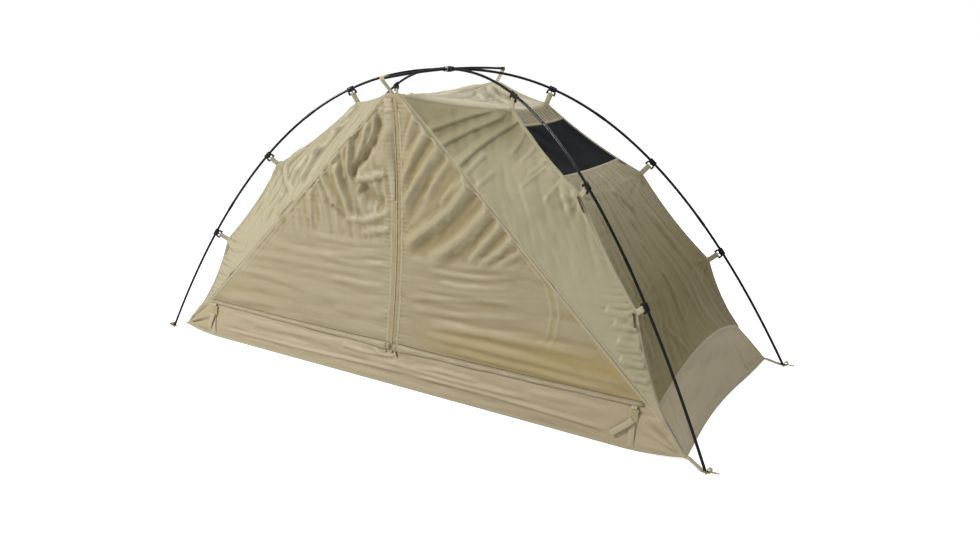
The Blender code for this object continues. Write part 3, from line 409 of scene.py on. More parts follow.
def tub_long_surface(side_y):
    """A long wall of the bathtub, from the ground hem at v 0 to the canopy at v 1."""
    def surface(u, v):
        share = 2 * u - 1
        corner = tub_corner(1, side_y)
        foot = stack(share * corner[0], corner[1], CLOTH / 2 + CORNER_LIFT * lift_of(share, 0.80))
        return lerp(foot, hem_point(share * HEM_HALF, side_y), v)
    return surface


def end_foot(u, side_x):
    """The bottom edge of the bathtub's end wall, drawn in between its corners."""
    share = 2 * np.asarray(u, float) - 1
    corner = tub_corner(side_x, 1)
    x = corner[0] - side_x * END_FOOT_HOLLOW * (1 - share * share)
    return stack(x, share * corner[1], CLOTH / 2 + CORNER_LIFT * lift_of(share, 0.50))


def tub_end_surface(side_x):
    """An end wall of the bathtub, under the arched hem of the sloping end."""
    def surface(u, v):
        return lerp(end_foot(u, side_x), end_points(np.zeros_like(u), u, side_x), v)
    return surface


def floor_surface(u, v):
    """The floor sheet, flat on the ground and lifted at its four corners."""
    share = 2 * u - 1
    edge = end_foot(v, 1)
    lift = CORNER_LIFT * lift_of(share, 0.80) * lift_of(2 * v - 1, 0.50)
    return stack(share * edge[..., 0], edge[..., 1], CLOTH / 2 + lift)


print("right ridge tabs", tab_seat(np.array(CLIP_SHARES), 1, -1).round(3).tolist())

# %% [markdown]
# A panel keeps its surface as a grid of points with their normals. Creases push the points along the
# normals, and tapes, zips and stitches are laid on later by asking the panel where a spot of it has
# gone. That way everything sewn to the cloth follows its folds.

# %% The panel and its helpers
def grid_normals(points, outward):
    """Unit normals of a grid of points, on the outward side."""
    normals = unit(np.cross(np.gradient(points, axis=1), np.gradient(points, axis=0)))
    if (normals.mean((0, 1)) @ np.asarray(outward, float)) < 0:
        normals = -normals
    return normals


FURROW_SCALE = 0.0030
FURROW_REACH = 0.012


class Panel:
    """One piece of cloth as a grid: u runs across it and v up it, both from 0 to 1."""

    def __init__(self, surface, columns, rows, outward):
        self.u, self.v = np.meshgrid(np.linspace(0, 1, columns + 1), np.linspace(0, 1, rows + 1))
        self.points = surface(self.u, self.v)
        self.outward = outward
        self.normals = grid_normals(self.points, outward)
        self.base = self.points.copy()
        self.tone = np.zeros(self.u.shape)
        self.furrow = np.zeros(self.u.shape)

    def below(self, depth, reach):
        """How far each point lies below the cloth around it, averaged over a reach."""
        around = depth.copy()
        across = float(self.width().mean()) / (self.u.shape[1] - 1)
        upward = float(self.height().mean()) / (self.u.shape[0] - 1)
        for grid, spacing in ((around.T, across), (around, upward)):
            for step in range(max(2, int(2 * (reach / spacing) ** 2))):
                grid[1:-1] += 0.25 * (grid[:-2] - 2 * grid[1:-1] + grid[2:])
        return around - depth

    def push(self, depth, reach=FURROW_REACH):
        """Moves the cloth out along its normals, or in where the depth is below 0."""
        # The furrow value becomes painted shade in the hollows and a painted highlight on the crests
        self.furrow += np.tanh(self.below(depth, reach) / FURROW_SCALE)
        self.points = self.points + self.normals * depth[..., None]
        self.normals = grid_normals(self.points, self.outward)

    def width(self):
        """The panel's width at each row, in metres."""
        steps = np.linalg.norm(np.diff(self.base, axis=1), axis=-1)
        return steps.sum(1)

    def height(self):
        """The panel's height at each column, in metres."""
        steps = np.linalg.norm(np.diff(self.base, axis=0), axis=-1)
        return steps.sum(0)

    def area(self):
        """The area of the panel as it was cut, before it creased."""
        across = np.diff(self.base, axis=1)[:-1]
        along = np.diff(self.base, axis=0)[:, :-1]
        return float(np.linalg.norm(np.cross(across, along), axis=-1).sum())

    def pick(self, grid, u, v):
        """Reads a grid of values between its points."""
        rows, columns = self.u.shape
        x = np.clip(np.asarray(u, float), 0, 1) * (columns - 1)
        y = np.clip(np.asarray(v, float), 0, 1) * (rows - 1)
        i = np.minimum(y.astype(int), rows - 2)
        j = np.minimum(x.astype(int), columns - 2)
        low = lerp(grid[i, j], grid[i, j + 1], x - j)
        high = lerp(grid[i + 1, j], grid[i + 1, j + 1], x - j)
        return lerp(low, high, y - i)

    def at(self, u, v, lift=0.0):
        """The points of the creased cloth at u and v, a lift above it."""
        return self.pick(self.points, u, v) + self.pick(self.normals, u, v) * lift

    def facing(self, u, v):
        """The normals of the creased cloth at u and v."""
        return unit(self.pick(self.normals, u, v))


print("furrows are judged over", FURROW_REACH, "metres of cloth")

# %% [markdown]
# A grid of points becomes a mesh when its faces are listed. The flat lay of the cloth is kept as a UV
# map in metres, so that a weave has its real pitch. The tone with its painted light, and the furrows
# that paint shade, are kept at the points for the finish to read.

# %% From a grid to a mesh
def grid_faces(rows, columns, flip):
    """The four corners of each face of a grid."""
    start = (np.arange(rows - 1)[:, None] * columns + np.arange(columns - 1)).ravel()
    corners = [start, start + 1, start + columns + 1, start + columns]
    return np.stack(corners[::-1] if flip else corners, 1)


def mesh_object(name, points, faces, flat=None, tone=None, furrow=None):
    """A smooth mesh object, with the flat lay of its cloth as a UV map in metres."""
    mesh = bpy.data.meshes.new(name)
    mesh.from_pydata(np.asarray(points, float).reshape(-1, 3).tolist(), [], [list(f) for f in faces])
    if flat is not None:
        corners = np.empty(len(mesh.loops), np.int32)
        mesh.loops.foreach_get("vertex_index", corners)
        lay = mesh.uv_layers.new(name="flat")
        lay.data.foreach_set("uv", np.asarray(flat, float).reshape(-1, 2)[corners].ravel())
    for word, values in (("tone", tone), ("furrow", furrow)):
        if values is not None:
            shade = mesh.attributes.new(word, "FLOAT", "POINT")
            shade.data.foreach_set("value", np.asarray(values, np.float32).ravel())
    mesh.shade_smooth()
    return add_object(name, mesh)


def thicken(piece, thickness):
    """Gives a sheet its thickness, half of it on each side."""
    skin = piece.modifiers.new("thickness", "SOLIDIFY")
    skin.thickness = thickness
    skin.offset = 0.0
    return piece


def cloth_object(name, panel, thickness):
    """The panel's mesh, thickened evenly about its surface."""
    rows, columns = panel.u.shape
    across = np.cross(np.gradient(panel.points, axis=1), np.gradient(panel.points, axis=0))
    flip = float((across * panel.normals).sum()) < 0
    flat = np.stack([panel.u * panel.width().mean(), panel.v * panel.height().mean()], -1)
    faces = grid_faces(rows, columns, flip)
    return thicken(mesh_object(name, panel.points, faces, flat, panel.tone, panel.furrow), thickness)


print("mesh helpers ready")

# %% [markdown]
# Pulled cloth drapes in long soft hills, gathers into short ones across a seam, and lies flat where it
# is sewn. The first two are heights in metres, and the third is a factor that fades them out.

# %% Drape, gathers and held edges
def drift(a, b, size_a, size_b, seed):
    """Smooth noise from about -1 to 1, whose hills have two sizes in metres."""
    spots = zip((a / size_a).ravel().tolist(), (b / size_b).ravel().tolist())
    return np.array([noise.noise((x, y, seed)) for x, y in spots]).reshape(a.shape) * 1.6


def puckers(along, aside, pitch, reach, depth, seed):
    """Short gathers across a seam: along runs down the seam and aside is the distance from it."""
    wander = drift(along, aside, 0.09, 0.2, seed)
    swell = 0.55 + 0.45 * drift(along, aside, 0.05, 0.3, seed + 7)
    waves = np.sin(math.tau * along / pitch + 2.6 * wander)
    return depth * swell * waves * np.exp(-np.maximum(aside, 0) / reach)


def edge_hold(u, v, left, right, bottom, top):
    """0 on a panel's sewn edges and 1 inside them, by shares of its width and height."""
    hold = np.ones_like(u)
    for value, margin in ((u, left), (1 - u, right), (v, bottom), (1 - v, top)):
        hold = hold * smooth(value, 0, margin)
    return hold


print("cloth helpers ready")

# %% [markdown]
# Long thin things (poles, tapes, webbing, piping, cords) are all one job: a small outline carried
# along a path. The outline is placed by the path's direction and a normal, so a tape lies flat on the
# cloth and a webbing strap keeps its face forward. Round ends and rounded edges are part of the
# outline, which looks better than a bevel on a box.

# %% Outlines carried along paths
def run_along(path):
    """How far along a path each of its points lies, in metres."""
    return np.concatenate([[0], np.cumsum(np.linalg.norm(np.diff(path, axis=0), axis=1))])


def through(points, count):
    """A smooth path of count points through a few chosen ones."""
    points = np.asarray(points, float)
    ends = np.vstack([2 * points[0] - points[1], points, 2 * points[-1] - points[-2]])
    marks = run_along(points)
    where = np.linspace(0, marks[-1], count)
    made = []
    for spot in where:
        i = min(int(np.searchsorted(marks, spot, "right")) - 1, len(points) - 2)
        t = (spot - marks[i]) / (marks[i + 1] - marks[i])
        a, b, c, d = ends[i:i + 4]
        made.append(0.5 * (2 * b + (c - a) * t + (2 * a - 5 * b + 4 * c - d) * t ** 2
                           + (3 * b - a - 3 * c + d) * t ** 3))
    return np.array(made)


def tangents(path):
    """The direction at each point of a path."""
    return unit(np.gradient(np.asarray(path, float), axis=0))


def loft(name, rings, flat=None, closed=False):
    """A closed skin over rings of points, with a flat cap on each end unless the rings go round."""
    rings = np.asarray(rings, float)
    count, sides = rings.shape[:2]
    faces = []
    for i in range(count if closed else count - 1):
        here, ahead = i * sides, (i + 1) % count * sides
        for j in range(sides):
            k = (j + 1) % sides
            faces.append((here + j, here + k, ahead + k, ahead + j))
    if not closed:
        faces.append(tuple(range(sides))[::-1])
        faces.append(tuple((count - 1) * sides + j for j in range(sides)))
    piece = mesh_object(name, rings, faces, flat)
    piece.data.set_sharp_from_angle(angle=math.radians(50))
    return piece


def steady_normals(path, start):
    """A normal for each point of a free path, turned no more than the path turns."""
    ways = tangents(path)
    normal = np.asarray(start, float)
    made = []
    for way in ways:
        normal = unit(normal - way * (normal @ way))
        made.append(normal)
    return np.array(made)


def tube(name, path, radii, sides, closed=False, start=(0.3, 0.2, 1.0)):
    """A round bar along a path, with one radius or one for each point."""
    path = np.asarray(path, float)
    radii = np.broadcast_to(np.asarray(radii, float), len(path))
    ways = tangents(path)
    normals = steady_normals(path, start)
    sides_way = np.cross(ways, normals)
    angles = np.arange(sides) * math.tau / sides
    rings = (path[:, None] + radii[:, None, None]
             * (np.cos(angles)[None, :, None] * normals[:, None]
                + np.sin(angles)[None, :, None] * sides_way[:, None]))
    girth = np.broadcast_to(angles * radii.mean(), (len(path), sides))
    run = run_along(path)
    flat = np.stack([girth, np.broadcast_to(run[:, None], girth.shape)], -1)
    return loft(name, rings, flat, closed)


def ribbon(name, path, normals, width, thickness, lift=0.0):
    """A flat strap along a path, its underside a lift above the path."""
    path = np.asarray(path, float)
    normals = np.broadcast_to(np.asarray(normals, float), path.shape)
    ways = tangents(path)
    sides = unit(np.cross(ways, normals))
    faces = unit(np.cross(sides, ways))
    half = np.broadcast_to(np.asarray(width, float), len(path)) / 2
    round_off = min(thickness * 0.45, float(half.min()) * 0.5)
    outline = [(-1, 0.28, 0), (-1, 0.72, 0), (-1, 1.0, 1), (0, 1.0, 0), (1, 1.0, 1)]
    outline += [(1, 0.72, 0), (1, 0.28, 0), (1, 0.0, 1), (0, 0.0, 0), (-1, 0.0, 1)]
    rings = []
    across = []
    for share, high, inset in outline:
        offset = share * (half - inset * round_off)
        rings.append(path + sides * offset[:, None] + faces * (lift + high * thickness))
        across.append(offset)
    run = run_along(path)
    lengthwise = np.broadcast_to(run[:, None], (len(path), len(outline)))
    flat = np.stack([np.array(across).T, lengthwise], -1)
    return loft(name, np.array(rings).transpose(1, 0, 2), flat)


print("path helpers ready")

# %% [markdown]
# A matrix places what was made in its own frame, and the parts of one moulding are joined into one
# mesh. Then every piece gets its material and the body that it rides on, so that it moves with its
# joint.

# %% Placing, joining and dressing
def placed(place, *ways):
    """A matrix with its origin at a place and its X, Y and Z along three directions."""
    turn = Matrix(np.array(ways).T.tolist()).to_4x4()
    return Matrix.Translation(np.asarray(place).tolist()) @ turn


def join(name, pieces):
    """Makes several meshes one piece."""
    with bpy.context.temp_override(active_object=pieces[0], selected_editable_objects=pieces):
        bpy.ops.object.join()
    pieces[0].name = name
    pieces[0].data.name = name
    return pieces[0]


def dress(piece, body, finish, slot, nodes=()):
    """Gives a piece its finish and lets it ride on a body of the frame. Its slot is not used."""
    piece.data.materials.clear()
    piece.data.materials.append(finish)
    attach(piece, body)
    if nodes:
        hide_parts(*nodes)
    return piece


print("dressing helpers ready")

# %% [markdown]
# Finishes are built from nodes. A helper that adds one node and either links or sets each of its
# sockets keeps every recipe short enough to read. Numbers that are the same all over a surface go
# straight onto the shader's own sockets.

# %% Finish helpers
def new_finish(name, colour, roughness, **settings):
    """A Principled material and its node tree, with constant values on its sockets."""
    made = bpy.data.materials.new(name)
    made.use_nodes = True
    tree = made.node_tree
    shader = tree.nodes["Principled BSDF"]
    shader.inputs["Base Color"].default_value = (*colour, 1.0)
    shader.inputs["Roughness"].default_value = roughness
    for key, value in settings.items():
        shader.inputs[key.replace("_", " ").title().replace("Ior", "IOR")].default_value = value
    return made, tree, shader


def add_node(tree, kind, sockets=(), **settings):
    """A node whose sockets are linked where they are given another socket, and set otherwise."""
    made = tree.nodes.new(kind)
    for key, value in settings.items():
        setattr(made, key, value)
    for key, value in dict(sockets).items():
        if isinstance(value, bpy.types.NodeSocket):
            tree.links.new(value, made.inputs[key])
        else:
            made.inputs[key].default_value = value
    return made


def places_on(tree):
    """Two kinds of coordinates: the object's own, and the flat lay of its cloth."""
    where = add_node(tree, "ShaderNodeTexCoord").outputs["Object"]
    return where, add_node(tree, "ShaderNodeUVMap", uv_map="flat").outputs[0]


def spots(tree, where, scale, detail, rough=0.5):
    """A noise value from 0 to 1, its grains 1/scale metres."""
    return add_node(tree, "ShaderNodeTexNoise", {"Vector": where, "Scale": scale, "Detail": detail,
                    "Roughness": rough}).outputs["Fac"]


def threads_of(tree, lay, scale, **more):
    """A value that waves across the cloth and one that waves along it."""
    return [add_node(tree, "ShaderNodeTexWave", {"Vector": lay, "Scale": scale, **more},
                     bands_direction=way).outputs["Fac"] for way in ("X", "Y")]


def blend_colour(tree, share, first, second):
    """A colour between two, by a share that a socket gives."""
    made = add_node(tree, "ShaderNodeMix", {"Factor": share}, data_type="RGBA")
    for index, value in ((6, first), (7, second)):
        if isinstance(value, bpy.types.NodeSocket):
            tree.links.new(value, made.inputs[index])
        else:
            made.inputs[index].default_value = (*value, 1.0)
    return made.outputs[2]


def remap(tree, value, low, high, to_low, to_high):
    """A value moved from one range to another."""
    return add_node(tree, "ShaderNodeMapRange", {"Value": value, "From Min": low, "From Max": high,
                    "To Min": to_low, "To Max": to_high}).outputs[0]


def maths(tree, how, first, second=0.0):
    """One step of arithmetic between sockets or numbers."""
    return add_node(tree, "ShaderNodeMath", {0: first, 1: second}, operation=how).outputs[0]


def add_bump(tree, shader, heights):
    """Chains bumps: each is a height socket, its real height in metres and its strength."""
    normal = None
    for height, distance, strength in heights:
        bump = add_node(tree, "ShaderNodeBump", {"Height": height, "Distance": distance,
                        "Strength": strength})
        if normal is not None:
            tree.links.new(normal, bump.inputs["Normal"])
        normal = bump.outputs[0]
    tree.links.new(normal, shader.inputs["Normal"])


def shades(colour, factor):
    """A colour made darker or lighter."""
    return tuple(min(1.0, channel * factor) for channel in colour)


print("finish helpers ready")

# %% [markdown]
# Tent nylon is thin, tightly woven and a little glossy: soft sheen along the creases, a fine weave
# close up and faint mottling from the coating. A value kept at each panel's points paints light and
# shade into its colour: warmer and darker is painted shade, and a painted glow where a second layer
# hangs behind it; paler is painted light. Part of it is tone that differs at random. So one recipe
# serves all the panels. A second value paints shade into the furrows, where less light reaches the
# cloth, and a highlight onto the crests.

# %% Nylon cloth
def nylon(name, colour, warm, pale, roughness, crest_light):
    """Woven nylon: the points' painted light and tone move its colour towards warm, or towards pale below 0.
    """
    made, tree, shader = new_finish(name, colour, roughness, sheen_weight=0.05, sheen_roughness=0.4,
                                    specular_ior_level=0.42)
    where, lay = places_on(tree)
    tone, furrow = (add_node(tree, "ShaderNodeAttribute", attribute_name=word).outputs["Fac"]
                    for word in ("tone", "furrow"))
    broad = spots(tree, where, 3.2, 3.0)
    fine = spots(tree, where, 34.0, 4.0, 0.6)
    # Painted light and shade, with some random tone: above 0 towards the warm colour, below 0 towards the
    # pale one
    hue = blend_colour(tree, remap(tree, tone, 0.0, 1.0, 0.0, 1.0), colour, warm)
    hue = blend_colour(tree, remap(tree, tone, 0.0, -1.0, 0.0, 1.0), hue, pale)
    hue = blend_colour(tree, remap(tree, broad, 0.35, 0.7, 0.0, 0.30), hue, shades(colour, 0.86))
    hue = blend_colour(tree, remap(tree, fine, 0.4, 0.75, 0.0, 0.12), hue, pale)
    # Painted shade in the furrows, and a painted highlight on the crests
    hue = blend_colour(tree, remap(tree, furrow, 0.08, 1.0, 0.0, 0.62), hue, shades(warm, 0.62))
    painted_crest_highlight = remap(tree, furrow, -0.10, -0.85, 0.0, crest_light)
    hue = blend_colour(tree, painted_crest_highlight, hue, shades(pale, 1.08))
    tree.links.new(hue, shader.inputs["Base Color"])
    gloss = remap(tree, fine, 0.3, 0.8, roughness - 0.05, roughness + 0.12)
    tree.links.new(gloss, shader.inputs["Roughness"])
    weave = maths(tree, "MULTIPLY", *threads_of(tree, lay, 260.0, Distortion=0.6, Detail=1.0))
    crumple = spots(tree, where, 22.0, 5.0, 0.55)
    add_bump(tree, shader, [(crumple, 0.0030, 0.35), (fine, 0.0010, 0.22), (weave, 0.00012, 0.25)])
    return made


# The warm and shade colours carry painted shade, the door's warm one also a painted glow, and the pale ones
# painted light and the random mottle. The roof's pale colour makes its nylon a lit copy of the canopy's.
CANOPY_COLOUR = (0.400, 0.352, 0.222)
DOOR_COLOUR = (0.352, 0.296, 0.172)
TUB_COLOUR = (0.420, 0.346, 0.216)
PAINTED_GLOW_AND_SHADE = (0.378, 0.278, 0.102)
PALE_COLOUR = (0.480, 0.430, 0.275)
SHADE_COLOUR = (0.188, 0.152, 0.052)
DOOR_PALE = (0.440, 0.385, 0.242)
ROOF_PAINTED_LIGHT = (0.565, 0.512, 0.375)
TUB_WARM = (0.330, 0.262, 0.160)
TUB_PALE = (0.500, 0.425, 0.280)
canopy_nylon = nylon("canopy_nylon", CANOPY_COLOUR, SHADE_COLOUR, PALE_COLOUR, 0.50, 0.16)
door_nylon = nylon("door_nylon", DOOR_COLOUR, PAINTED_GLOW_AND_SHADE, DOOR_PALE, 0.48, 0.32)
roof_nylon_painted_light = nylon("roof_nylon_painted_light", CANOPY_COLOUR, SHADE_COLOUR, ROOF_PAINTED_LIGHT, 0.50, 0.45)
tub_nylon = nylon("tub_nylon", TUB_COLOUR, TUB_WARM, TUB_PALE, 0.52, 0.16)
print("cloth finishes", [m.name for m in bpy.data.materials if "nylon" in m.name])

# %% [markdown]
# Webbing and sewn tape are thicker and paler than the cloth. Webbing shows ribs across its width and
# a lock stitch near each edge. The strap's flat lay gives both: its first number runs from edge to
# edge and its second along the strap, so ribs and stitches keep their real pitch on every length.

# %% Webbing, tape and thread
STITCH_PITCH = 0.0042
STITCH_WIDTH = 0.0009


def dashes(tree, off_middle, lengthwise, offset):
    """A line of stitches on each side of a strap's middle, at an offset: 1 on the thread."""
    aside = maths(tree, "ABSOLUTE", maths(tree, "SUBTRACT", off_middle, offset))
    near = remap(tree, aside, STITCH_WIDTH * 0.5, STITCH_WIDTH, 1.0, 0.0)
    wave = maths(tree, "SINE", maths(tree, "MULTIPLY", lengthwise, math.tau / STITCH_PITCH))
    return maths(tree, "MULTIPLY", near, remap(tree, wave, -0.5, 0.1, 0.0, 1.0))


def strap_finish(name, colour, stitch_offset, rib_pitch, rib_depth, roughness):
    """Woven strap or tape with ribs and one line of stitches near each edge."""
    made, tree, shader = new_finish(name, colour, roughness, sheen_weight=0.2, sheen_roughness=0.5,
                                    specular_ior_level=0.3)
    where, lay = places_on(tree)
    split = add_node(tree, "ShaderNodeSeparateXYZ", {0: lay})
    off_middle = maths(tree, "ABSOLUTE", split.outputs[0])
    rows = maths(tree, "ADD", split.outputs[1], maths(tree, "MULTIPLY", off_middle, 0.6))
    ribs = maths(tree, "SINE", maths(tree, "MULTIPLY", rows, math.tau / rib_pitch))
    thread = dashes(tree, off_middle, split.outputs[1], stitch_offset)
    worn = spots(tree, where, 60.0, 3.0)
    hue = blend_colour(tree, remap(tree, worn, 0.35, 0.75, 0.0, 0.5), colour, shades(colour, 0.82))
    # Painted shade: the grooves between the ribs are coloured darker
    hue = blend_colour(tree, remap(tree, ribs, -1.0, 0.2, 0.25, 0.0), hue, shades(colour, 0.66))
    hue = blend_colour(tree, thread, hue, shades(colour, 1.22))
    tree.links.new(hue, shader.inputs["Base Color"])
    add_bump(tree, shader, [(ribs, rib_depth, 0.6), (thread, 0.0004, 0.7), (worn, 0.0004, 0.3)])
    return made


WEBBING_COLOUR = (0.500, 0.430, 0.285)
TAPE_COLOUR = (0.440, 0.385, 0.250)
webbing_finish = strap_finish("webbing", WEBBING_COLOUR, 0.0078, 0.0021, 0.00025, 0.7)
tape_finish = strap_finish("seam_tape", TAPE_COLOUR, 0.0030, 0.0013, 0.00010, 0.6)
zip_tape_finish = strap_finish("zip_tape", (0.375, 0.298, 0.162), 0.0085, 0.0012, 0.00010, 0.62)
print("strap finishes", webbing_finish.name, tape_finish.name, zip_tape_finish.name)

# %% [markdown]
# The poles are anodised and polished, so they are nearly black and show long bright reflections. The
# clips and the hub are black nylon plastic with a fine moulded grain. The buckles are the same
# plastic in tan, and the sliders are painted metal. All of them are coloured a little paler along their
# edges.

# %% Hard finishes
def hard_finish(name, colour, roughness, grain, depth, edge=1.6, metallic=0.0):
    """Moulded or painted stuff with a fine grain, and edges a little paler."""
    made, tree, shader = new_finish(name, colour, roughness, metallic=metallic, specular_ior_level=0.30)
    where = add_node(tree, "ShaderNodeTexCoord").outputs["Object"]
    speckle = spots(tree, where, grain, 3.0, 0.6)
    smudge = spots(tree, where, 40.0, 2.0)
    corner = add_node(tree, "ShaderNodeNewGeometry").outputs["Pointiness"]
    paler_edges = remap(tree, corner, 0.53, 0.60, 0.0, 0.55)
    hue = blend_colour(tree, paler_edges, colour, shades(colour, edge))
    hue = blend_colour(tree, remap(tree, smudge, 0.4, 0.7, 0.0, 0.3), hue, shades(colour, 0.8))
    tree.links.new(hue, shader.inputs["Base Color"])
    tree.links.new(remap(tree, smudge, 0.3, 0.75, roughness - 0.06, roughness + 0.1),
                   shader.inputs["Roughness"])
    add_bump(tree, shader, [(speckle, depth, 0.4)])
    return made


pole_finish = hard_finish("anodised_pole", (0.006, 0.006, 0.007), 0.22, 900.0, 0.000004, 1.4)
plastic_finish = hard_finish("black_plastic", (0.008, 0.008, 0.009), 0.36, 1200.0, 0.00006, 2.0)
band_finish = hard_finish("pale_band", (0.62, 0.62, 0.60), 0.35, 900.0, 0.00004, 1.1)
buckle_finish = hard_finish("tan_plastic", (0.400, 0.340, 0.195), 0.42, 1100.0, 0.00006, 1.3)
slider_finish = hard_finish("painted_metal", (0.290, 0.240, 0.150), 0.36, 900.0, 0.00004, 1.6, 0.35)
grommet_finish = hard_finish("dark_grommet", (0.050, 0.046, 0.040), 0.34, 900.0, 0.00004, 2.0, 0.8)
print("hard finishes made")

# %% [markdown]
# Insect netting can't be modelled hole by hole at this size, and the vents look nearly black with a
# cool sheen. A fine grid in the colour and in the bump gives the threads, and the folds in the
# panel's own shape give the pale streaks.

# %% Vent netting
def netting(name, colour, thread):
    """Fine black netting: a square grid of threads, slightly paler than the gaps."""
    made, tree, shader = new_finish(name, colour, 0.70, specular_ior_level=0.10)
    where, lay = places_on(tree)
    threads = maths(tree, "MAXIMUM", *threads_of(tree, lay, 190.0))
    haze = spots(tree, where, 9.0, 3.0)
    hue = blend_colour(tree, remap(tree, threads, 0.55, 0.95, 0.0, 1.0), colour, thread)
    hue = blend_colour(tree, remap(tree, haze, 0.45, 0.8, 0.0, 0.5), hue, shades(thread, 1.5))
    tree.links.new(hue, shader.inputs["Base Color"])
    add_bump(tree, shader, [(threads, 0.0002, 0.5), (haze, 0.002, 0.3)])
    return made


vent_finish = netting("vent_netting", (0.0045, 0.005, 0.0055), (0.012, 0.0135, 0.016))
print("netting made")

# %% [markdown]
# A fold in the cloth is drawn as one stroke through a few places on the wall. Most are steeper on one
# side, which is what makes nylon look crisp, and all die out at both ends. A cloth simulation would
# crease too, but not where this tent does.

# %% Strokes for the folds
FOLD_FOOT = 1.7


def crest(share):
    """A fold's height at a share of the way from its middle to its foot, with a flat top."""
    return np.clip(1.22 * (1 - share), 0, 1) ** 1.15


def fold(a, b, points, width, depth, skew=1.0):
    """One fold through a few places: a ridge, or a furrow where the depth is below 0."""
    points = np.asarray(points, float)
    reach = 3 * width * max(1.0, skew)
    near = (a > points[:, 0].min() - reach) & (a < points[:, 0].max() + reach)
    near &= (b > points[:, 1].min() - reach) & (b < points[:, 1].max() + reach)
    relief = np.zeros(a.shape)
    if not near.any():
        return relief
    line = through(np.column_stack([points, np.zeros(len(points))]), 7 * len(points))[:, :2]
    runs = np.diff(line, axis=0)
    away = np.stack([a[near], b[near]], -1)[:, None] - line[:-1]
    share = np.clip((away * runs).sum(-1) / (runs ** 2).sum(-1), 0, 1)
    distance = np.linalg.norm(away - share[..., None] * runs, axis=-1)
    best = distance.argmin(1)
    rows = np.arange(len(best))
    side = runs[best, 0] * away[rows, best, 1] - runs[best, 1] * away[rows, best, 0]
    spread = np.where(side > 0, width * skew, width)
    where = (best + share[rows, best]) / len(runs)
    ends = smooth(where, 0, 0.16) * (1 - smooth(where, 0.80, 1.0))
    relief[near] = depth * ends * crest(distance[rows, best] / (FOLD_FOOT * spread))
    return relief


def draw_folds(a, b, folds):
    """The depth of a list of folds, placed by two coordinates."""
    depth = np.zeros(a.shape)
    for places, width, height, skew in folds:
        points = np.reshape(places, (-1, 2)) / 1000
        depth += fold(a, b, points, width / 10000, height / 10000, skew)
    return depth


print("a fold's foot lies", FOLD_FOOT, "half widths from its middle")

# %% [markdown]
# The door flaps show the most creases. The tent hangs a little loose, so on the right flap the cloth
# drapes from the slanting seam down to the zip. The left flap is crumpled at its top, beside the seam.
# Below an old packing fold both lie in level waves.

# %% Where the door's folds lie
# Each fold: its places as x, z, x, z in millimetres, its half width and its depth in tenths of a
# millimetre, and how many times as wide its left side is
RIGHT_FLAP_FOLDS = [
    ((105, 985, 70, 900, 30, 790), 140, 100, 1.2),
    ((165, 935, 85, 830, 14, 705), 180, 170, 1.1),
    ((245, 905, 130, 785, 14, 625), 200, 200, 1.1),
    ((265, 850, 195, 765, 120, 665), 100, 80, 1.2),
    ((335, 800, 255, 735, 190, 660), 120, 90, 1),
    ((365, 800, 259, 675, 169, 600, 14, 492), 230, 230, 1.1),
    ((450, 725, 332, 603, 245, 527, 120, 458), 220, 220, 1.1),
    ((495, 680, 395, 565, 310, 478), 160, 160, 1.1),
    ((535, 620, 428, 527, 345, 478), 120, 120, 1.1),
    ((570, 580, 480, 520, 410, 485), 90, 70, 1.2),
    ((24, 466, 200, 462, 400, 478, 570, 508), 120, 80, 1),
    ((130, 436, 351, 440, 540, 474), 60, 85, 2),
    ((180, 402, 317, 402, 520, 428), 60, 75, 2),
    ((60, 370, 230, 372, 580, 414), 70, 60, 2),
    ((25, 318, 235, 346, 540, 386), 70, 70, 2),
    ((40, 285, 300, 300, 620, 348), 80, 55, 1.8),
    ((100, 236, 500, 258, 880, 262), 100, 80, 1.8),
    ((100, 205, 500, 203, 960, 196), 100, 90, 1.8),
    ((250, 172, 600, 166, 920, 166), 80, 60, 1.5),
]
LEFT_FLAP_FOLDS = [
    ((-60, 970, -82, 885, -137, 812, -190, 753, -178, 695), 110, -170, 1.3),
    ((-28, 920, -40, 840, -64, 765), 300, 90, 1),
    ((-195, 722, -110, 735, -22, 765), 90, 110, 2),
    ((-165, 705, -105, 664, -50, 640), 260, -200, 1),
    ((-245, 588, -180, 576, -110, 588, -15, 628), 90, 90, 1.6),
    ((-170, 530, -80, 545, -15, 562), 90, 80, 1.6),
    ((-355, 780, -312, 690, -258, 602), 160, 120, 0.7),
    ((-270, 785, -240, 690, -204, 584), 160, 170, 0.7),
    ((-262, 900, -280, 820, -288, 765), 100, 100, 1),
    ((-228, 930, -258, 850, -262, 795), 90, 110, 1),
    ((-195, 955, -225, 900, -235, 845), 90, 90, 1),
    ((-145, 975, -188, 880, -205, 800, -206, 725), 120, 150, 1),
    ((-232, 835, -228, 770, -225, 715), 80, 80, 0.8),
    ((-115, 940, -140, 860, -172, 795), 100, 90, 1),
    ((-298, 630, -265, 600, -232, 570), 110, -110, 1),
    ((-392, 680, -396, 590, -398, 505), 80, 80, 0.8),
    ((-364, 725, -345, 670, -322, 622), 80, 70, 0.8),
    ((-412, 650, -415, 555), 70, 60, 0.8),
    ((-660, 456, -456, 430, -250, 440, -18, 470), 90, 75, 2),
    ((-440, 500, -200, 492, -20, 505), 80, 60, 1.8),
    ((-360, 424, -180, 415, -20, 428), 70, 70, 1.8),
    ((-880, 400, -456, 385, -250, 385, -16, 395), 100, 70, 1.8),
    ((-320, 345, -150, 340, -18, 350), 70, 70, 1.8),
    ((-880, 320, -618, 301, -299, 275, -15, 278), 120, 80, 1.6),
    ((-300, 235, -150, 228, -18, 236), 90, 60, 1.6),
    ((-930, 176, -451, 204, -180, 206), 120, 80, 1.6),
]
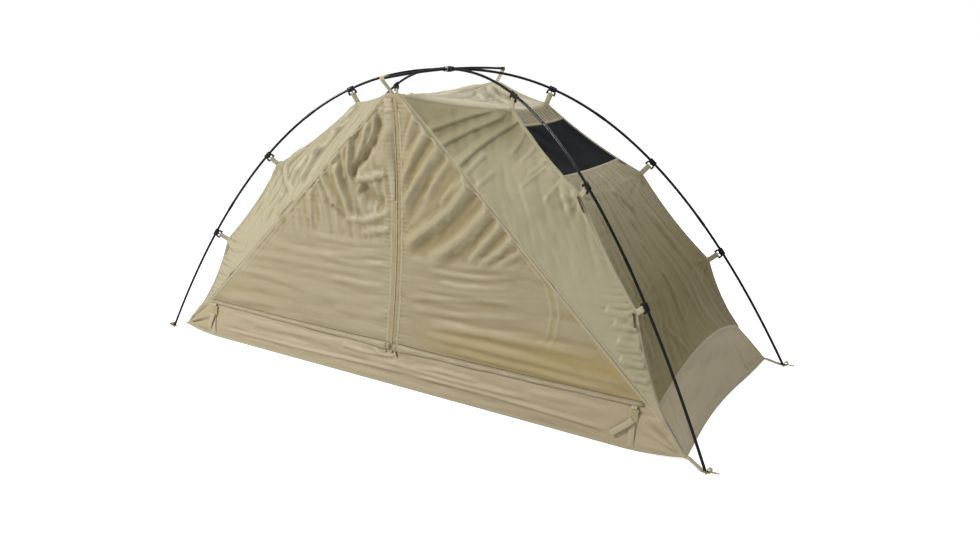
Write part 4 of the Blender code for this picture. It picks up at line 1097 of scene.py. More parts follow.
# The inner door's curved zip lies against the right flap and shows through it, as painted light and shade
INNER_ZIP = [(0.440, 0.690), (0.547, 0.552), (0.624, 0.480), (0.660, 0.400), (0.655, 0.310),
             (0.618, 0.232)]
INNER_ZIP_HALF = 0.014
INNER_ZIP_RISE = 0.0022
PACK_FOLD_HEIGHT = 0.49
DRAPE_LEANS = {-1: math.radians(82), 1: math.radians(53)}
FOLD_STRENGTHS = {-1: 0.88, 1: 1.0}
GLOW_STRENGTHS = {-1: 0.30, 1: 1.0}
LEFT_FLAP_PAINTED_LIGHT = 0.35
FLAP_FURROW_REACH = 0.018
FLAP_COLUMNS = 190
FLAP_ROWS = 190
print("folds", len(LEFT_FLAP_FOLDS), "on the left flap and", len(RIGHT_FLAP_FOLDS), "on the right")

# %% [markdown]
# Noise joins the strokes into one drape, stretched along the way that the cloth is pulled. The gathers
# at the zip and the slanting seam are added, and all of it fades towards the sewn edges.

# %% Relief of the door flaps
def flap_depth(panel, side_x, folds, seed):
    """The whole relief of a door flap."""
    x, z = panel.base[..., 0], panel.base[..., 2]
    reach = np.abs(x)
    high = smooth(z, PACK_FOLD_HEIGHT - 0.03, PACK_FOLD_HEIGHT + 0.05)
    lean = DRAPE_LEANS[side_x]
    along = reach * math.cos(lean) + z * math.sin(lean)
    aside = z * math.cos(lean) - reach * math.sin(lean)
    drape = 0.0034 * high * drift(along, aside, 0.22, 0.040, seed)
    drape += 0.0020 * high * drift(along, aside, 0.07, 0.018, seed + 1)
    waves = 0.0030 * (1 - high) * drift(x, z, 0.30, 0.034, seed + 2)
    waves += 0.0010 * drift(x, z, 0.09, 0.016, seed + 3)
    gather = puckers(z, reach - 0.022, 0.016, 0.034, 0.0030, seed + 4)
    seam = (1 - panel.u) * panel.width()[:, None]
    gather += puckers(z + reach, seam - 0.008, 0.030, 0.040, 0.0020, seed + 5)
    hold = edge_hold(panel.u, panel.v, 0.012, 0.055, 0.02, 0.05)
    tape = smooth(reach, 0.010, 0.040)
    folded = draw_folds(x, z, folds) * (0.70 + 0.30 * high) * FOLD_STRENGTHS[side_x]
    return (folded + drape + waves) * hold * (0.25 + 0.75 * tape) + gather * hold - 0.001 * hold


def beside(line, offset):
    """A line of (x, z) places moved aside by an offset."""
    line = np.asarray(line, float)
    ways = tangents(line)
    return line + np.stack([-ways[:, 1], ways[:, 0]], -1) * offset


flaps = {}
for (side, side_x), folds, seed in zip(SIDES, (LEFT_FLAP_FOLDS, RIGHT_FLAP_FOLDS), (3.0, 31.0)):
    flap = Panel(centre_surface(side_x, -1), FLAP_COLUMNS, FLAP_ROWS, (0, -1, 0))
    x, z = flap.base[..., 0], flap.base[..., 2]
    # Painted glow: warmer low on the flaps, as light through the two layers, strongest on the right flap
    glow = smooth(0.32 - z, 0.0, 0.10) * smooth(np.abs(x), 0.05, 0.40)
    band = 0.5 + 0.5 * drift(x, z, 0.5, 0.05, seed + 9)
    depth = flap_depth(flap, side_x, folds, seed)
    flap.tone = np.clip(glow * (0.5 + 0.5 * band) * GLOW_STRENGTHS[side_x], 0, 1)
    if side_x > 0:
        # Painted highlight along the zip's raised edges, painted shade along its line
        for offset in (-INNER_ZIP_HALF, INNER_ZIP_HALF):
            edge = fold(x, z, beside(INNER_ZIP, offset), 0.0045, 1.0)
            depth += INNER_ZIP_RISE * edge
            flap.tone -= 0.40 * edge
        flap.tone += fold(x, z, INNER_ZIP, 0.010, 0.30)
    else:
        # The left flap is painted paler, as lit cloth
        flap.tone -= LEFT_FLAP_PAINTED_LIGHT
    flap.push(depth, FLAP_FURROW_REACH)
    flaps[side] = flap
print("flap areas", {side: round(flap.area(), 3) for side, flap in flaps.items()})

# %% [markdown]
# Every panel becomes a mesh with a real thickness, so an opened door has two sides. Its cut size is
# measured on the smooth surface, before it creased.

# %% Make the door flaps
# A sheet's area is at least this share of its width times its height
LEAST_AREA = 0.31


def hang(name, panel, finish, slot, node, rests_on, body="tent", held="stretched", thickness=CLOTH):
    piece = dress(cloth_object(name, panel, thickness), body, finish, slot, [node])
    size = (float(panel.width().max()), float(panel.height().max()))
    area = min(max(panel.area(), LEAST_AREA * size[0] * size[1]), size[0] * size[1])
    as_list(rests_on)
    print(name, [round(length, 3) for length in size], "vertices", len(piece.data.vertices))


for side, flap in flaps.items():
    hang(f"door_flap_{side}_cloth", flap, door_nylon, "door_cloth", f"door_flap_{side}",
         [f"front_panel_{side}_cloth"], f"{side}_flap")

# %% [markdown]
# The side panels between the slanting seams and the ridges are one layer, and they are painted paler
# as lit cloth, the left one most. The right one is painted darker high up and paler low down. The
# clips' tabs pull on them: thin creases fan out from the high tab on the right, and long soft folds
# run down the left one.

# %% Side panels
RIGHT_SIDE_FOLDS = [
    ((330, 985, 225, 948, 125, 898), 200, 50, 0.10),
    ((345, 955, 250, 900, 165, 835), 220, 55, 0.10),
    ((405, 955, 325, 872, 245, 755), 220, 55, 0.10),
    ((350, 850, 330, 815, 305, 780), 120, 32, 0.3),
    ((400, 800, 370, 762, 335, 722), 120, 28, 0.3),
    ((420, 930, 424, 880, 420, 830), 120, 34, 0.3),
    ((478, 892, 472, 852, 456, 812), 100, 28, 0.3),
    ((534, 845, 518, 810, 494, 775), 100, 28, 0.3),
    ((600, 776, 588, 740, 572, 702), 90, 26, 0.4),
    ((540, 810, 515, 778, 486, 742), 80, 26, 0.4),
    ((438, 830, 480, 775, 520, 715, 560, 640), 200, 30, 1.2),
    ((590, 780, 625, 735, 660, 670), 80, 50, 1),
    ((640, 755, 690, 705, 730, 650), 80, 50, 1),
    ((670, 715, 730, 650, 780, 580), 80, 50, 1),
    ((820, 410, 870, 400, 915, 398), 70, 50, 1.6),
    ((850, 372, 900, 364, 940, 360), 70, 60, 1.6),
    ((870, 322, 915, 313, 955, 308), 70, 60, 1.6),
    ((885, 272, 935, 261, 975, 254), 70, 60, 1.6),
    ((910, 230, 960, 218, 992, 210), 60, 50, 1.6),
]
LEFT_SIDE_FOLDS = [
    ((-400, 850, -424, 772, -460, 680), 180, 130, 0.4),
    ((-550, 830, -605, 745, -578, 692, -500, 655), 160, 110, 0.5),
    ((-640, 755, -699, 684, -740, 632), 140, 110, 0.5),
    ((-350, 910, -389, 827, -470, 762), 140, 100, 0.5),
    ((-310, 935, -367, 881, -420, 840), 100, 80, 0.5),
    ((-330, 970, -375, 920, -392, 868), 100, 80, 0.6),
    ((-480, 800, -520, 735, -545, 660), 140, 90, 0.6),
    ((-470, 625, -520, 590, -570, 545), 140, 80, 0.8),
    ((-690, 625, -750, 565, -800, 505), 120, 60, 0.7),
    ((-580, 640, -640, 580, -690, 510), 160, 70, 0.7),
    ((-918, 398, -850, 385, -770, 398), 90, 50, 1.6),
    ((-912, 392, -945, 330), 80, -60, 1),
    ((-960, 285, -880, 280, -820, 290), 80, 50, 1.6),
]
SIDE_COLUMNS = 140
SIDE_ROWS = 230
SIDE_LEAN = math.radians(60)
SIDE_SOFTNESS = {-1: 0.0032, 1: 0.0014}
LEFT_SIDE_STRENGTH = 1.05
SIDE_PAINTED_LIGHT = {-1: -0.40, 1: -0.30}
FAN_CREASES = 9
FAN_REACH = 0.11


def seat_fans(panel, side_x, side_y, depth):
    """Tension creases that fan out from each clip's tab, on the panel's own coordinates."""
    total = np.zeros(panel.u.shape)
    for number, share in enumerate(CLIP_SHARES):
        seat = tab_seat(share, side_x, side_y)
        away = panel.base - seat
        distance = np.linalg.norm(away, axis=-1)
        angle = np.arctan2(away[..., 2], away[..., 0] * side_x + away[..., 1] * 0.3)
        rays_of = np.cos(FAN_CREASES * angle + 1.7 * number)
        total += depth * rays_of * np.exp(-distance / FAN_REACH) * smooth(distance, 0.0, 0.05)
    return total


def side_depth(panel, side_x, side_y, folds, seed):
    """The whole relief of a side panel."""
    x, z = panel.base[..., 0], panel.base[..., 2]
    reach = np.abs(x)
    along = reach * math.cos(SIDE_LEAN) - z * math.sin(SIDE_LEAN)
    aside = reach * math.sin(SIDE_LEAN) + z * math.cos(SIDE_LEAN)
    high = smooth(z, 0.40, 0.62)
    softness = SIDE_SOFTNESS[side_x]
    drape = softness * (0.25 + high) * drift(along, aside, 0.24, 0.045, seed)
    drape += 0.5 * softness * (0.3 + high) * drift(along, aside, 0.08, 0.017, seed + 1)
    to_ridge = (1 - panel.u) * panel.width()[:, None]
    low = 1 - smooth(z, 0.42, 0.50)
    gather = puckers(z, to_ridge - 0.004, 0.021, 0.060, 0.0014 * (0.35 + 2.0 * low), seed + 2)
    gather += puckers(z, panel.u * panel.width()[:, None], 0.032, 0.035, 0.0012, seed + 3)
    fans = seat_fans(panel, side_x, side_y, 0.0014)
    hold = edge_hold(panel.u, panel.v, 0.05, 0.05, 0.03, 0.04)
    strength = 1.0 if side_x > 0 else LEFT_SIDE_STRENGTH
    return (draw_folds(x, z, folds) * strength + drape + fans) * hold + gather * hold


side_panels = {}
for (side, side_x), folds, seed in zip(SIDES, (LEFT_SIDE_FOLDS, RIGHT_SIDE_FOLDS), (11.0, 47.0)):
    panel = Panel(side_surface(side_x, -1), SIDE_COLUMNS, SIDE_ROWS, (0, -1, 0))
    panel.push(side_depth(panel, side_x, -1, folds, seed))
    # Painted light: both side panels paler, the left one most
    panel.tone = np.full(panel.u.shape, SIDE_PAINTED_LIGHT[side_x])
    # Painted shade high on the right panel and painted light low on it
    if side_x > 0:
        height = panel.base[..., 2]
        panel.tone += 0.70 * smooth(height, 0.80, 0.93) + 0.20 * smooth(height, 0.50, 0.70)
        panel.tone -= 0.35 * (1 - smooth(height, 0.20, 0.45))
    side_panels[side] = panel
    hang(f"front_panel_{side}_cloth", panel, canopy_nylon, "canopy_cloth", f"front_panel_{side}",
         [f"front_{side}_clip_low", f"front_{side}_clip_high"])

# %% [markdown]
# The rear wall is cut like the front without its door: one sheet from ridge to ridge. Its surface
# runs over the same four stretches, so u is shared out between them by their real widths.

# %% Rear wall
REAR_BREAKS = (0.0, 0.17, 0.5, 0.83, 1.0)
REAR_COLUMNS = 170
REAR_ROWS = 96
REAR_LEAN = math.radians(62)


def rear_surface(u, v):
    """The rear wall, from the left ridge at u 0 to the right ridge at u 1."""
    parts = [(side_surface(-1, 1), 1.0, 0.0), (centre_surface(-1, 1), 1.0, 0.0),
             (centre_surface(1, 1), 0.0, 1.0), (side_surface(1, 1), 0.0, 1.0)]
    line = np.zeros(u.shape + (3,))
    for number, (surface, first, last) in enumerate(parts):
        low, high = REAR_BREAKS[number], REAR_BREAKS[number + 1]
        share = np.clip((u - low) / (high - low), 0, 1)
        inside = (u >= low) & ((u < high) | (number == 3))
        line = np.where(inside[..., None], surface(first + (last - first) * share, v), line)
    return line


rear = Panel(rear_surface, REAR_COLUMNS, REAR_ROWS, (0, 1, 0))
x, z = rear.base[..., 0], rear.base[..., 2]
away = np.abs(x)
along = away * math.cos(REAR_LEAN) + z * math.sin(REAR_LEAN)
aside = z * math.cos(REAR_LEAN) - away * math.sin(REAR_LEAN)
high = smooth(z, 0.44, 0.56)
relief = 0.0060 * high * drift(along, aside * np.sign(x + 1e-9), 0.25, 0.045, 71.0)
relief += 0.0045 * (1 - high) * drift(x, z, 0.34, 0.040, 72.0) + 0.0016 * drift(x, z, 0.08, 0.020, 73.0)
relief += 0.006 * np.exp(-((z - PACK_FOLD_HEIGHT) / 0.014) ** 2) * (1 - smooth(away, 0.3, 0.6))
edge = np.minimum(rear.u, 1 - rear.u) * rear.width()[:, None]
relief += puckers(z, edge, 0.024, 0.05, 0.0022, 74.0)
for side_x in (-1, 1):
    relief += seat_fans(rear, side_x, 1, 0.0040)
rear.push(relief * edge_hold(rear.u, rear.v, 0.02, 0.02, 0.03, 0.04) - 0.004 * rear.v * (1 - rear.v))
# Painted light and shade: the middle warmer and darker, the single-layer sides paler, with a random drift on
# top
rear.tone = np.where(away < 0.9 * (1.04 - z), 0.10, -0.4) + 0.2 * drift(x, z, 0.5, 0.2, 75.0)
hang("rear_wall_cloth", rear, canopy_nylon, "canopy_cloth", "rear_wall", ["rear_left_clip_low"])

# %% [markdown]
# The ends slope from the vents down to the bathtub. The cloth is pulled along the slope, so its folds
# are long and narrow and run from the vent to the hem. The right end lies in shade and looks olive; its
# cloth is painted with shade, darkest towards the hem, and a little paler beside the front ridge.

# %% End walls
END_COLUMNS = 120
END_ROWS = 110
EASE_ROUNDS = 110
END_FOLDS = [
    ((-26, 475, -38, 375, -28, 265), 80, 80, 0.5),
    ((-30, 555, -28, 500), 80, 50, 0.6),
    ((-10, 725, 25, 680, 75, 615), 90, 70, 0.5),
    ((-170, 320, -110, 222), 100, 60, 0.5),
    ((-176, 720, -182, 630, -170, 520), 120, 60, 0.6),
    ((-28, 665, 0, 600, 26, 530), 90, 50, 0.6),
    ((2, 770, 20, 715, 38, 660), 100, 50, 0.6),
    ((160, 610, 176, 545, 186, 470), 100, 50, 0.6),
    ((85, 385, 104, 300, 118, 225), 100, 50, 0.6),
    ((-303, 450, -318, 350, -316, 255), 120, 60, 0.6),
    ((320, 420, 345, 350, 362, 285), 120, 50, 0.6),
]


def end_depth(panel, side_x, seed):
    """The relief of a sloping end: long folds down the slope and creases round the tabs."""
    y, z = panel.base[..., 1], panel.base[..., 2]
    fan = y / (0.16 + 0.30 * (1.0 - panel.v))
    down = panel.v
    relief = 0.0036 * drift(fan, down, 0.16, 0.9, seed) + 0.0020 * drift(fan, down, 0.06, 0.5, seed + 1)
    relief += 0.0012 * drift(y, z, 0.05, 0.05, seed + 2)
    relief += draw_folds(y, z, END_FOLDS)
    edge = np.minimum(panel.u, 1 - panel.u) * panel.width()[:, None]
    relief += puckers(z, edge, 0.026, 0.045, 0.0020, seed + 3)
    for side_y in (-1, 1):
        relief += seat_fans(panel, side_x, side_y, 0.0035)
    return relief * edge_hold(panel.u, panel.v, 0.05, 0.05, 0.05, 0.06) - 0.003 * arch(panel.v)


def ease(panel, weight, rounds):
    """Rounds off a panel's kinks between its rows, by a weight from 0 to 1 at each point."""
    points = panel.points.copy()
    for step in range(rounds):
        middle = (points[:-2] + points[2:]) / 2
        points[1:-1] += 0.5 * weight[1:-1, :, None] * (middle - points[1:-1])
    panel.points = points
    panel.normals = grid_normals(points, panel.outward)


end_walls = {}
for (side, side_x), seed in zip(SIDES, (83.0, 91.0)):
    wall = Panel(end_surface(side_x, 0.0, 2 + VENT_LOW), END_COLUMNS, END_ROWS, (side_x, 0, 0.5))
    ease(wall, edge_hold(wall.u, wall.v, 0.10, 0.10, 0.05, 0.05), EASE_ROUNDS)
    wall.push(end_depth(wall, side_x, seed))
    # Painted shade: darkest at the hem, lighter up the slope and beside the front ridge
    wall.tone = 0.95 - 0.75 * smooth(wall.v, 0.35, 1.0) - 0.25 * np.exp(-wall.u / 0.05)
    end_walls[side] = wall
    hang(f"end_wall_{side}_cloth", wall, canopy_nylon, "canopy_cloth", f"end_wall_{side}",
         [f"front_{side}_clip_low", f"rear_{side}_clip_low"])

# %% [markdown]
# The vents are slack netting, so they only have a few broad waves along the slope.

# %% Vents
VENT_COLUMNS = 56
VENT_ROWS = 44
NET = 0.0006

vents = {}
for (side, side_x), seed in zip(SIDES, (101.0, 107.0)):
    vent = Panel(end_surface(side_x, 2 + VENT_LOW, 2 + VENT_HIGH), VENT_COLUMNS, VENT_ROWS,
                 (side_x, 0, 0.5))
    y = vent.base[..., 1]
    relief = 0.0050 * drift(y + 0.15 * vent.v, vent.v, 0.07, 0.9, seed)
    relief += 0.0014 * drift(y, vent.v, 0.025, 0.3, seed + 1)
    vent.push(relief * edge_hold(vent.u, vent.v, 0.08, 0.08, 0.1, 0.1) - 0.004 * arch(vent.u) * arch(vent.v))
    vents[side] = vent
    hang(f"vent_mesh_{side}_net", vent, vent_finish, "vent_mesh", f"vent_mesh_{side}",
         [f"front_{side}_clip_high", f"rear_{side}_clip_high"], thickness=NET)

# %% [markdown]
# The roof hangs between the two peaks and the four high tabs. Straight tension folds run from each
# peak towards the tabs, and small pleats lie side by side where it is gathered to each vent.

# %% Roof
# These folds lie on both halves of the roof. Their places are the distance from its middle, and y
ROOF_FOLDS = [
    ((22, -290, 134, -225, 290, -118), 80, 80, 0.6),
    ((24, -275, 130, -180, 320, -60), 90, 90, 0.6),
    ((20, -260, 100, -150, 260, -10), 100, 80, 0.6),
    ((12, -240, 60, -120, 150, 10), 100, 70, 0.6),
    ((20, 290, 120, 215, 290, 120), 90, 70, 1.6),
    ((16, 265, 90, 165, 240, 70), 90, 70, 1.6),
    ((8, 240, 50, 130, 140, 40), 90, 60, 1.6),
]
ROOF_FOLD_STRENGTH = 1.5
ROOF_FOLD_SHIFT = 0.006
PLEAT_PITCH = 0.0195
PLEAT_DEPTH = 0.0052
ROOF_COLUMNS = 180
ROOF_ROWS = 110

roof = Panel(roof_surface, ROOF_COLUMNS, ROOF_ROWS, (0, 0, 1))
x, y = roof.base[..., 0], roof.base[..., 1]
painted_light_streaks = np.zeros(x.shape)
relief = 0.0008 * drift(x, y, 0.06, 0.06, 121.0)
relief += ROOF_FOLD_STRENGTH * draw_folds(np.abs(x), y + ROOF_FOLD_SHIFT * np.sign(x), ROOF_FOLDS)
for side_y in (-1, 1):
    away = BROW_HALF - PEAK_INSET - y * side_y
    angle = np.arctan2(x, np.maximum(away, 1e-4))
    distance = np.hypot(x, away)
    ray = drift(angle, distance, 0.13, 0.8, 123.0 + side_y) + 0.5 * drift(angle, distance, 0.05, 0.5, 126.0)
    relief += 0.0044 * ray * smooth(distance, 0.02, 0.16) * np.exp(-distance / 0.45)
    painted_light_streaks += ray * np.exp(-distance / 0.35)
to_vent = np.minimum(roof.u, 1 - roof.u)
pleats = np.abs(np.sin(math.pi * (y + 0.004 * drift(x, y, 0.1, 0.05, 127.0)) / PLEAT_PITCH)) ** 0.7
relief += PLEAT_DEPTH * (pleats - 0.5) * (1 - smooth(to_vent, 0.050, 0.100))
roof.push(relief * edge_hold(roof.u, roof.v, 0.012, 0.012, 0.05, 0.05))
# Painted light and shade: pale and dark streaks along the tension folds, and painted shade on the gathered
# strips by the vents
roof.tone = -0.70 - 0.95 * painted_light_streaks + 1.7 * (1 - smooth(to_vent, 0.045, 0.085))
hang("roof_panel_cloth", roof, roof_nylon_painted_light, "canopy_cloth", "roof_panel", ["front_left_clip_high"])

# %% [markdown]
# The bathtub is a heavier coated cloth. Its long walls stand loosely between the ground hem and the
# canopy: two long creases run their whole length, short ones lie under the zip, and at each end the
# cloth is gathered towards the corner strap.

# %% Bathtub walls
TUB_FRONT_FOLDS = [
    ((-1010, 40, -500, 44, 180, 56), 30, 70, 3),
    ((60, 52, 450, 52, 960, 40), 30, 75, 3),
    ((-60, 80, 250, 70, 640, 74), 35, 45, 2.4),
    ((100, 85, 250, 92, 400, 88), 50, 50, 1.8),
    ((-240, 100, -120, 94, 10, 104), 50, 60, 1.8),
    ((-90, 118, -30, 100, 30, 106), 50, 60, 1.4),
    ((-750, 90, -480, 98, -250, 94), 70, 45, 1.6),
    ((560, 98, 750, 104, 920, 100), 70, 40, 1.6),
    ((-960, 116, -740, 108, -500, 112), 70, 40, 1.6),
]
BUCKLE_INSET = 0.074
STRAP_X = HEM_HALF - BUCKLE_INSET
GATHER_DEPTH = 0.0120
TUB_GRID = (440, 44)
TUB_END_GRID = (90, 26)
FLOOR_GRID = (150, 60)


def corner_gathers(panel):
    """Creases that run from each of the bathtub's corners up and inwards."""
    total = np.zeros(panel.u.shape)
    for side_x in (-1, 1):
        corner = tub_corner(side_x, 1)
        inward = corner[0] * side_x - panel.base[..., 0] * side_x
        rise = panel.base[..., 2] - corner[2]
        distance = np.hypot(inward, rise)
        angle = np.arctan2(rise, np.maximum(inward, 1e-4))
        fan = np.abs(np.cos(9 * angle + 0.8 + 2.0 * side_x)) + 0.5 * np.abs(np.cos(16 * angle)) - 0.8
        strap = 1 - 0.8 * np.exp(-((panel.base[..., 0] * side_x - STRAP_X) / 0.030) ** 2)
        total += GATHER_DEPTH * strap * fan * smooth(distance, 0.005, 0.05) * np.exp(-distance / 0.20)
    return total


tubs = {}
for word, side_y, seed in (("front", -1, 141.0), ("rear", 1, 149.0)):
    tub = Panel(tub_long_surface(side_y), *TUB_GRID, (0, side_y, 0))
    x, z = tub.base[..., 0], tub.base[..., 2]
    relief = 0.0034 * drift(x, z, 0.34, 0.030, seed) + 0.0014 * drift(x, z, 0.10, 0.016, seed + 1)
    relief += draw_folds(x, z, TUB_FRONT_FOLDS) * (1.0 if side_y < 0 else 0.6)
    relief += corner_gathers(tub)
    # The cloth lies flatter where the buckle and the open zip's slider rest on it
    relief *= 1 - 0.95 * np.exp(-((np.abs(x) - STRAP_X + 0.034) / 0.060) ** 2)
    tub.push(relief * edge_hold(tub.u, tub.v, 0.008, 0.008, 0.16, 0.14) + 0.004 * arch(tub.v))
    tub.tone = 0.25 * drift(x, z, 0.6, 0.08, seed + 2)
    tubs[word] = tub
    hang(f"tub_{word}_cloth", tub, tub_nylon, "tub_cloth", f"tub_{word}",
         [f"{word}_left_corner_strap", f"{word}_right_corner_strap"])

tub_ends = {}
for (side, side_x), seed in zip(SIDES, (157.0, 163.0)):
    tub = Panel(tub_end_surface(side_x), *TUB_END_GRID, (side_x, 0, 0))
    y, z = tub.base[..., 1], tub.base[..., 2]
    relief = 0.0045 * drift(y, z, 0.20, 0.06, seed) + 0.0012 * drift(y, z, 0.06, 0.03, seed + 1)
    gather = drift(np.abs(y) + 0.45 * z, z, 0.022, 0.5, seed + 2)
    relief += 0.0050 * gather * smooth(np.abs(y), 0.20, 0.38)
    tub.push(relief * edge_hold(tub.u, tub.v, 0.03, 0.03, 0.14, 0.12))
    # Painted light: the bathtub's ends at their palest, as lit cloth
    tub.tone = np.full(tub.u.shape, -1.0)
    tub_ends[side] = tub
    hang(f"tub_end_{side}_cloth", tub, tub_nylon, "tub_cloth", f"tub_end_{side}",
         [f"front_{side}_corner_strap", f"rear_{side}_corner_strap"])

floor_panel = Panel(floor_surface, *FLOOR_GRID, (0, 0, 1))
x, y = floor_panel.base[..., 0], floor_panel.base[..., 1]
ripple = 0.0022 * np.abs(drift(x, y, 0.16, 0.10, 171.0))
ripple += 0.0010 * np.abs(drift(x, y, 0.05, 0.05, 172.0))
floor_panel.push(ripple * edge_hold(floor_panel.u, floor_panel.v, 0.04, 0.04, 0.06, 0.06))
hang("floor_sheet_cloth", floor_panel, tub_nylon, "tub_cloth", "floor_sheet", ["tub_front_cloth"],
     held="laid")
print("bathtub made, lowest point", round(float(floor_panel.points[..., 2].min()), 5))

# %% [markdown]
# The poles are aluminium tubes in three sections a leg. Each section ends in a wider ferrule that the
# next one stands in, and the lowest ends in a thin pin for the grommet. One outline carried along the
# pole curve, with a radius for each point, makes the tube, the ferrule and the pin in one skin.

# %% Poles
LEGS = {"front_left": (-1, -1), "front_right": (1, -1), "rear_left": (-1, 1), "rear_right": (1, 1)}
JOINT_SHARES = (0.44, 0.735)
POLE_WALL = 0.0005
FERRULE_CLEARANCE = 0.00020
FERRULE_RADIUS = POLE_RADIUS + FERRULE_CLEARANCE + POLE_WALL
FERRULE_REACH = 0.022
FERRULE_LIP = 0.0002
SOCKET_START = 0.016
PIN_RADIUS = 0.0026
FOOT_SHOULDER = 0.0133
POLE_STEP = 0.012
POLE_SIDES = 18


def share_of(distance, share):
    """The share of a leg that a short distance along the pole takes, near a share."""
    small = 0.001
    run = pole_point(share + small, 1, 1) - pole_point(share - small, 1, 1)
    return distance * 2 * small / float(np.linalg.norm(run))


def pole_section(name, breaks, side_x, side_y):
    """A section of a leg from its breaks: a share of the leg and the radius there."""
    marks, radii = np.array(breaks).T
    count = int((marks[-1] - marks[0]) / share_of(POLE_STEP, marks.mean()))
    shares = np.unique(np.concatenate([marks, np.linspace(marks[0], marks[-1], count)]))
    piece = tube(name, pole_point(shares, side_x, side_y), np.interp(shares, marks, radii), POLE_SIDES)
    dress(piece, "tent", pole_finish, "pole_black", [name.removesuffix("_tube")])


def ferrule_breaks(joint):
    """The radii round a joint, from the plain tube to the ferrule's mouth."""
    reach = share_of(FERRULE_REACH, joint)
    return [(joint - reach, POLE_RADIUS), (joint - 0.9 * reach, FERRULE_RADIUS),
            (joint + 0.93 * reach, FERRULE_RADIUS), (joint + 0.96 * reach, FERRULE_RADIUS + FERRULE_LIP),
            (joint + 0.99 * reach, FERRULE_RADIUS + FERRULE_LIP), (joint + reach, FERRULE_RADIUS)]


for prefix, (side_x, side_y) in LEGS.items():
    first, second = JOINT_SHARES
    start = SOCKET_START / math.hypot(SPAN_LENGTH / 2, SPAN_WIDTH / 2)
    upper = [(start, POLE_RADIUS), *ferrule_breaks(first)]
    pole_section(f"{prefix}_pole_upper_tube", upper, side_x, side_y)
    inside = first + share_of(0.9 * FERRULE_REACH, first)
    middle = [(inside, POLE_RADIUS), *ferrule_breaks(second)]
    pole_section(f"{prefix}_pole_middle_tube", middle, side_x, side_y)
    inside = second + share_of(0.9 * FERRULE_REACH, second)
    shoulder = 1 - share_of(FOOT_SHOULDER, 1.0)
    pin = shoulder + share_of(0.002, 1.0)
    fall = -float(pole_tangent(1.0, 1, 1)[2])
    tip = 1 - share_of(PIN_RADIUS * math.sqrt(1 - fall ** 2) / fall, 1.0)
    foot = [(inside, POLE_RADIUS), (shoulder, POLE_RADIUS), (pin, PIN_RADIUS), (tip, PIN_RADIUS)]
    pole_section(f"{prefix}_pole_lower_tube", foot, side_x, side_y)

CAP_RADIUS = POLE_RADIUS + 0.0003
CAP_LENGTH = 0.013
CAP_EDGES = BROW_HALF - np.array([CAP_LENGTH, CAP_LENGTH - 0.0006, 0.0012])
reach = np.unique(np.concatenate([np.linspace(-BROW_HALF, BROW_HALF, 69), -CAP_EDGES, CAP_EDGES]))
brow_path = stack(0.0, reach, PEAK_HEIGHT - BROW_DROP * (reach / BROW_HALF) ** 2)
to_end = BROW_HALF - np.abs(reach)
brow_radii = np.where(to_end > CAP_LENGTH - 0.0003, POLE_RADIUS, CAP_RADIUS)
brow_radii = np.where(to_end < 0.0006, CAP_RADIUS * 0.8, brow_radii)
brow_pole = tube("brow_pole_tube", brow_path, brow_radii, POLE_SIDES)
dress(brow_pole, "tent", pole_finish, "pole_black", ["brow_pole"])

# %% [markdown]
# A clip is one moulding: a hook that snaps over the pole, an open frame under it and a bar that the
# tab is folded round. Between hook and tab the light shows through. The hook is a strap-like outline
# bent round the pole, and the frame is a plate with a window. They are made once and placed twelve
# times.

# %% Clips and tabs
HOOK_INNER = POLE_RADIUS + 0.00045
HOOK_WALL = 0.0028
HOOK_LENGTH = 0.028
HOOK_START = math.radians(-55)
HOOK_TURN = math.radians(250)
FRAME_DEPTH = 0.0056
FRAME_HALF = 0.0172
FRAME_FAR = 0.0215
BAR_LOW = 0.0172
BAR_HIGH = 0.0210
CLIP_STRAIGHT = 0.016
TAB_WIDTH = 0.019
TAB_FOOT = 0.004
BAR_WRAP = 0.0030
PLY_GAP = 0.0002


def plate(name, outlines, thickness, round_off=0.0004):
    """A flat plate with rounded edges, from closed outlines in its XY plane, the inner ones holes."""
    curve = bpy.data.curves.new(name, "CURVE")
    curve.dimensions = "2D"
    curve.fill_mode = "BOTH"
    curve.extrude = thickness / 2 - round_off
    curve.bevel_depth = round_off
    curve.bevel_resolution = 2
    curve.offset = -round_off
    for outline in outlines:
        spline = curve.splines.new("POLY")
        spline.points.add(len(outline) - 1)
        spline.use_cyclic_u = True
        for point, (x, y) in zip(spline.points, outline):
            point.co = (x, y, 0.0, 1.0)
    flat = add_object(name, curve)
    bpy.context.view_layer.update()
    mesh = bpy.data.meshes.new_from_object(flat)
    bpy.data.objects.remove(flat)
    mesh.shade_smooth()
    mesh.set_sharp_from_angle(angle=math.radians(40))
    return add_object(name, mesh)


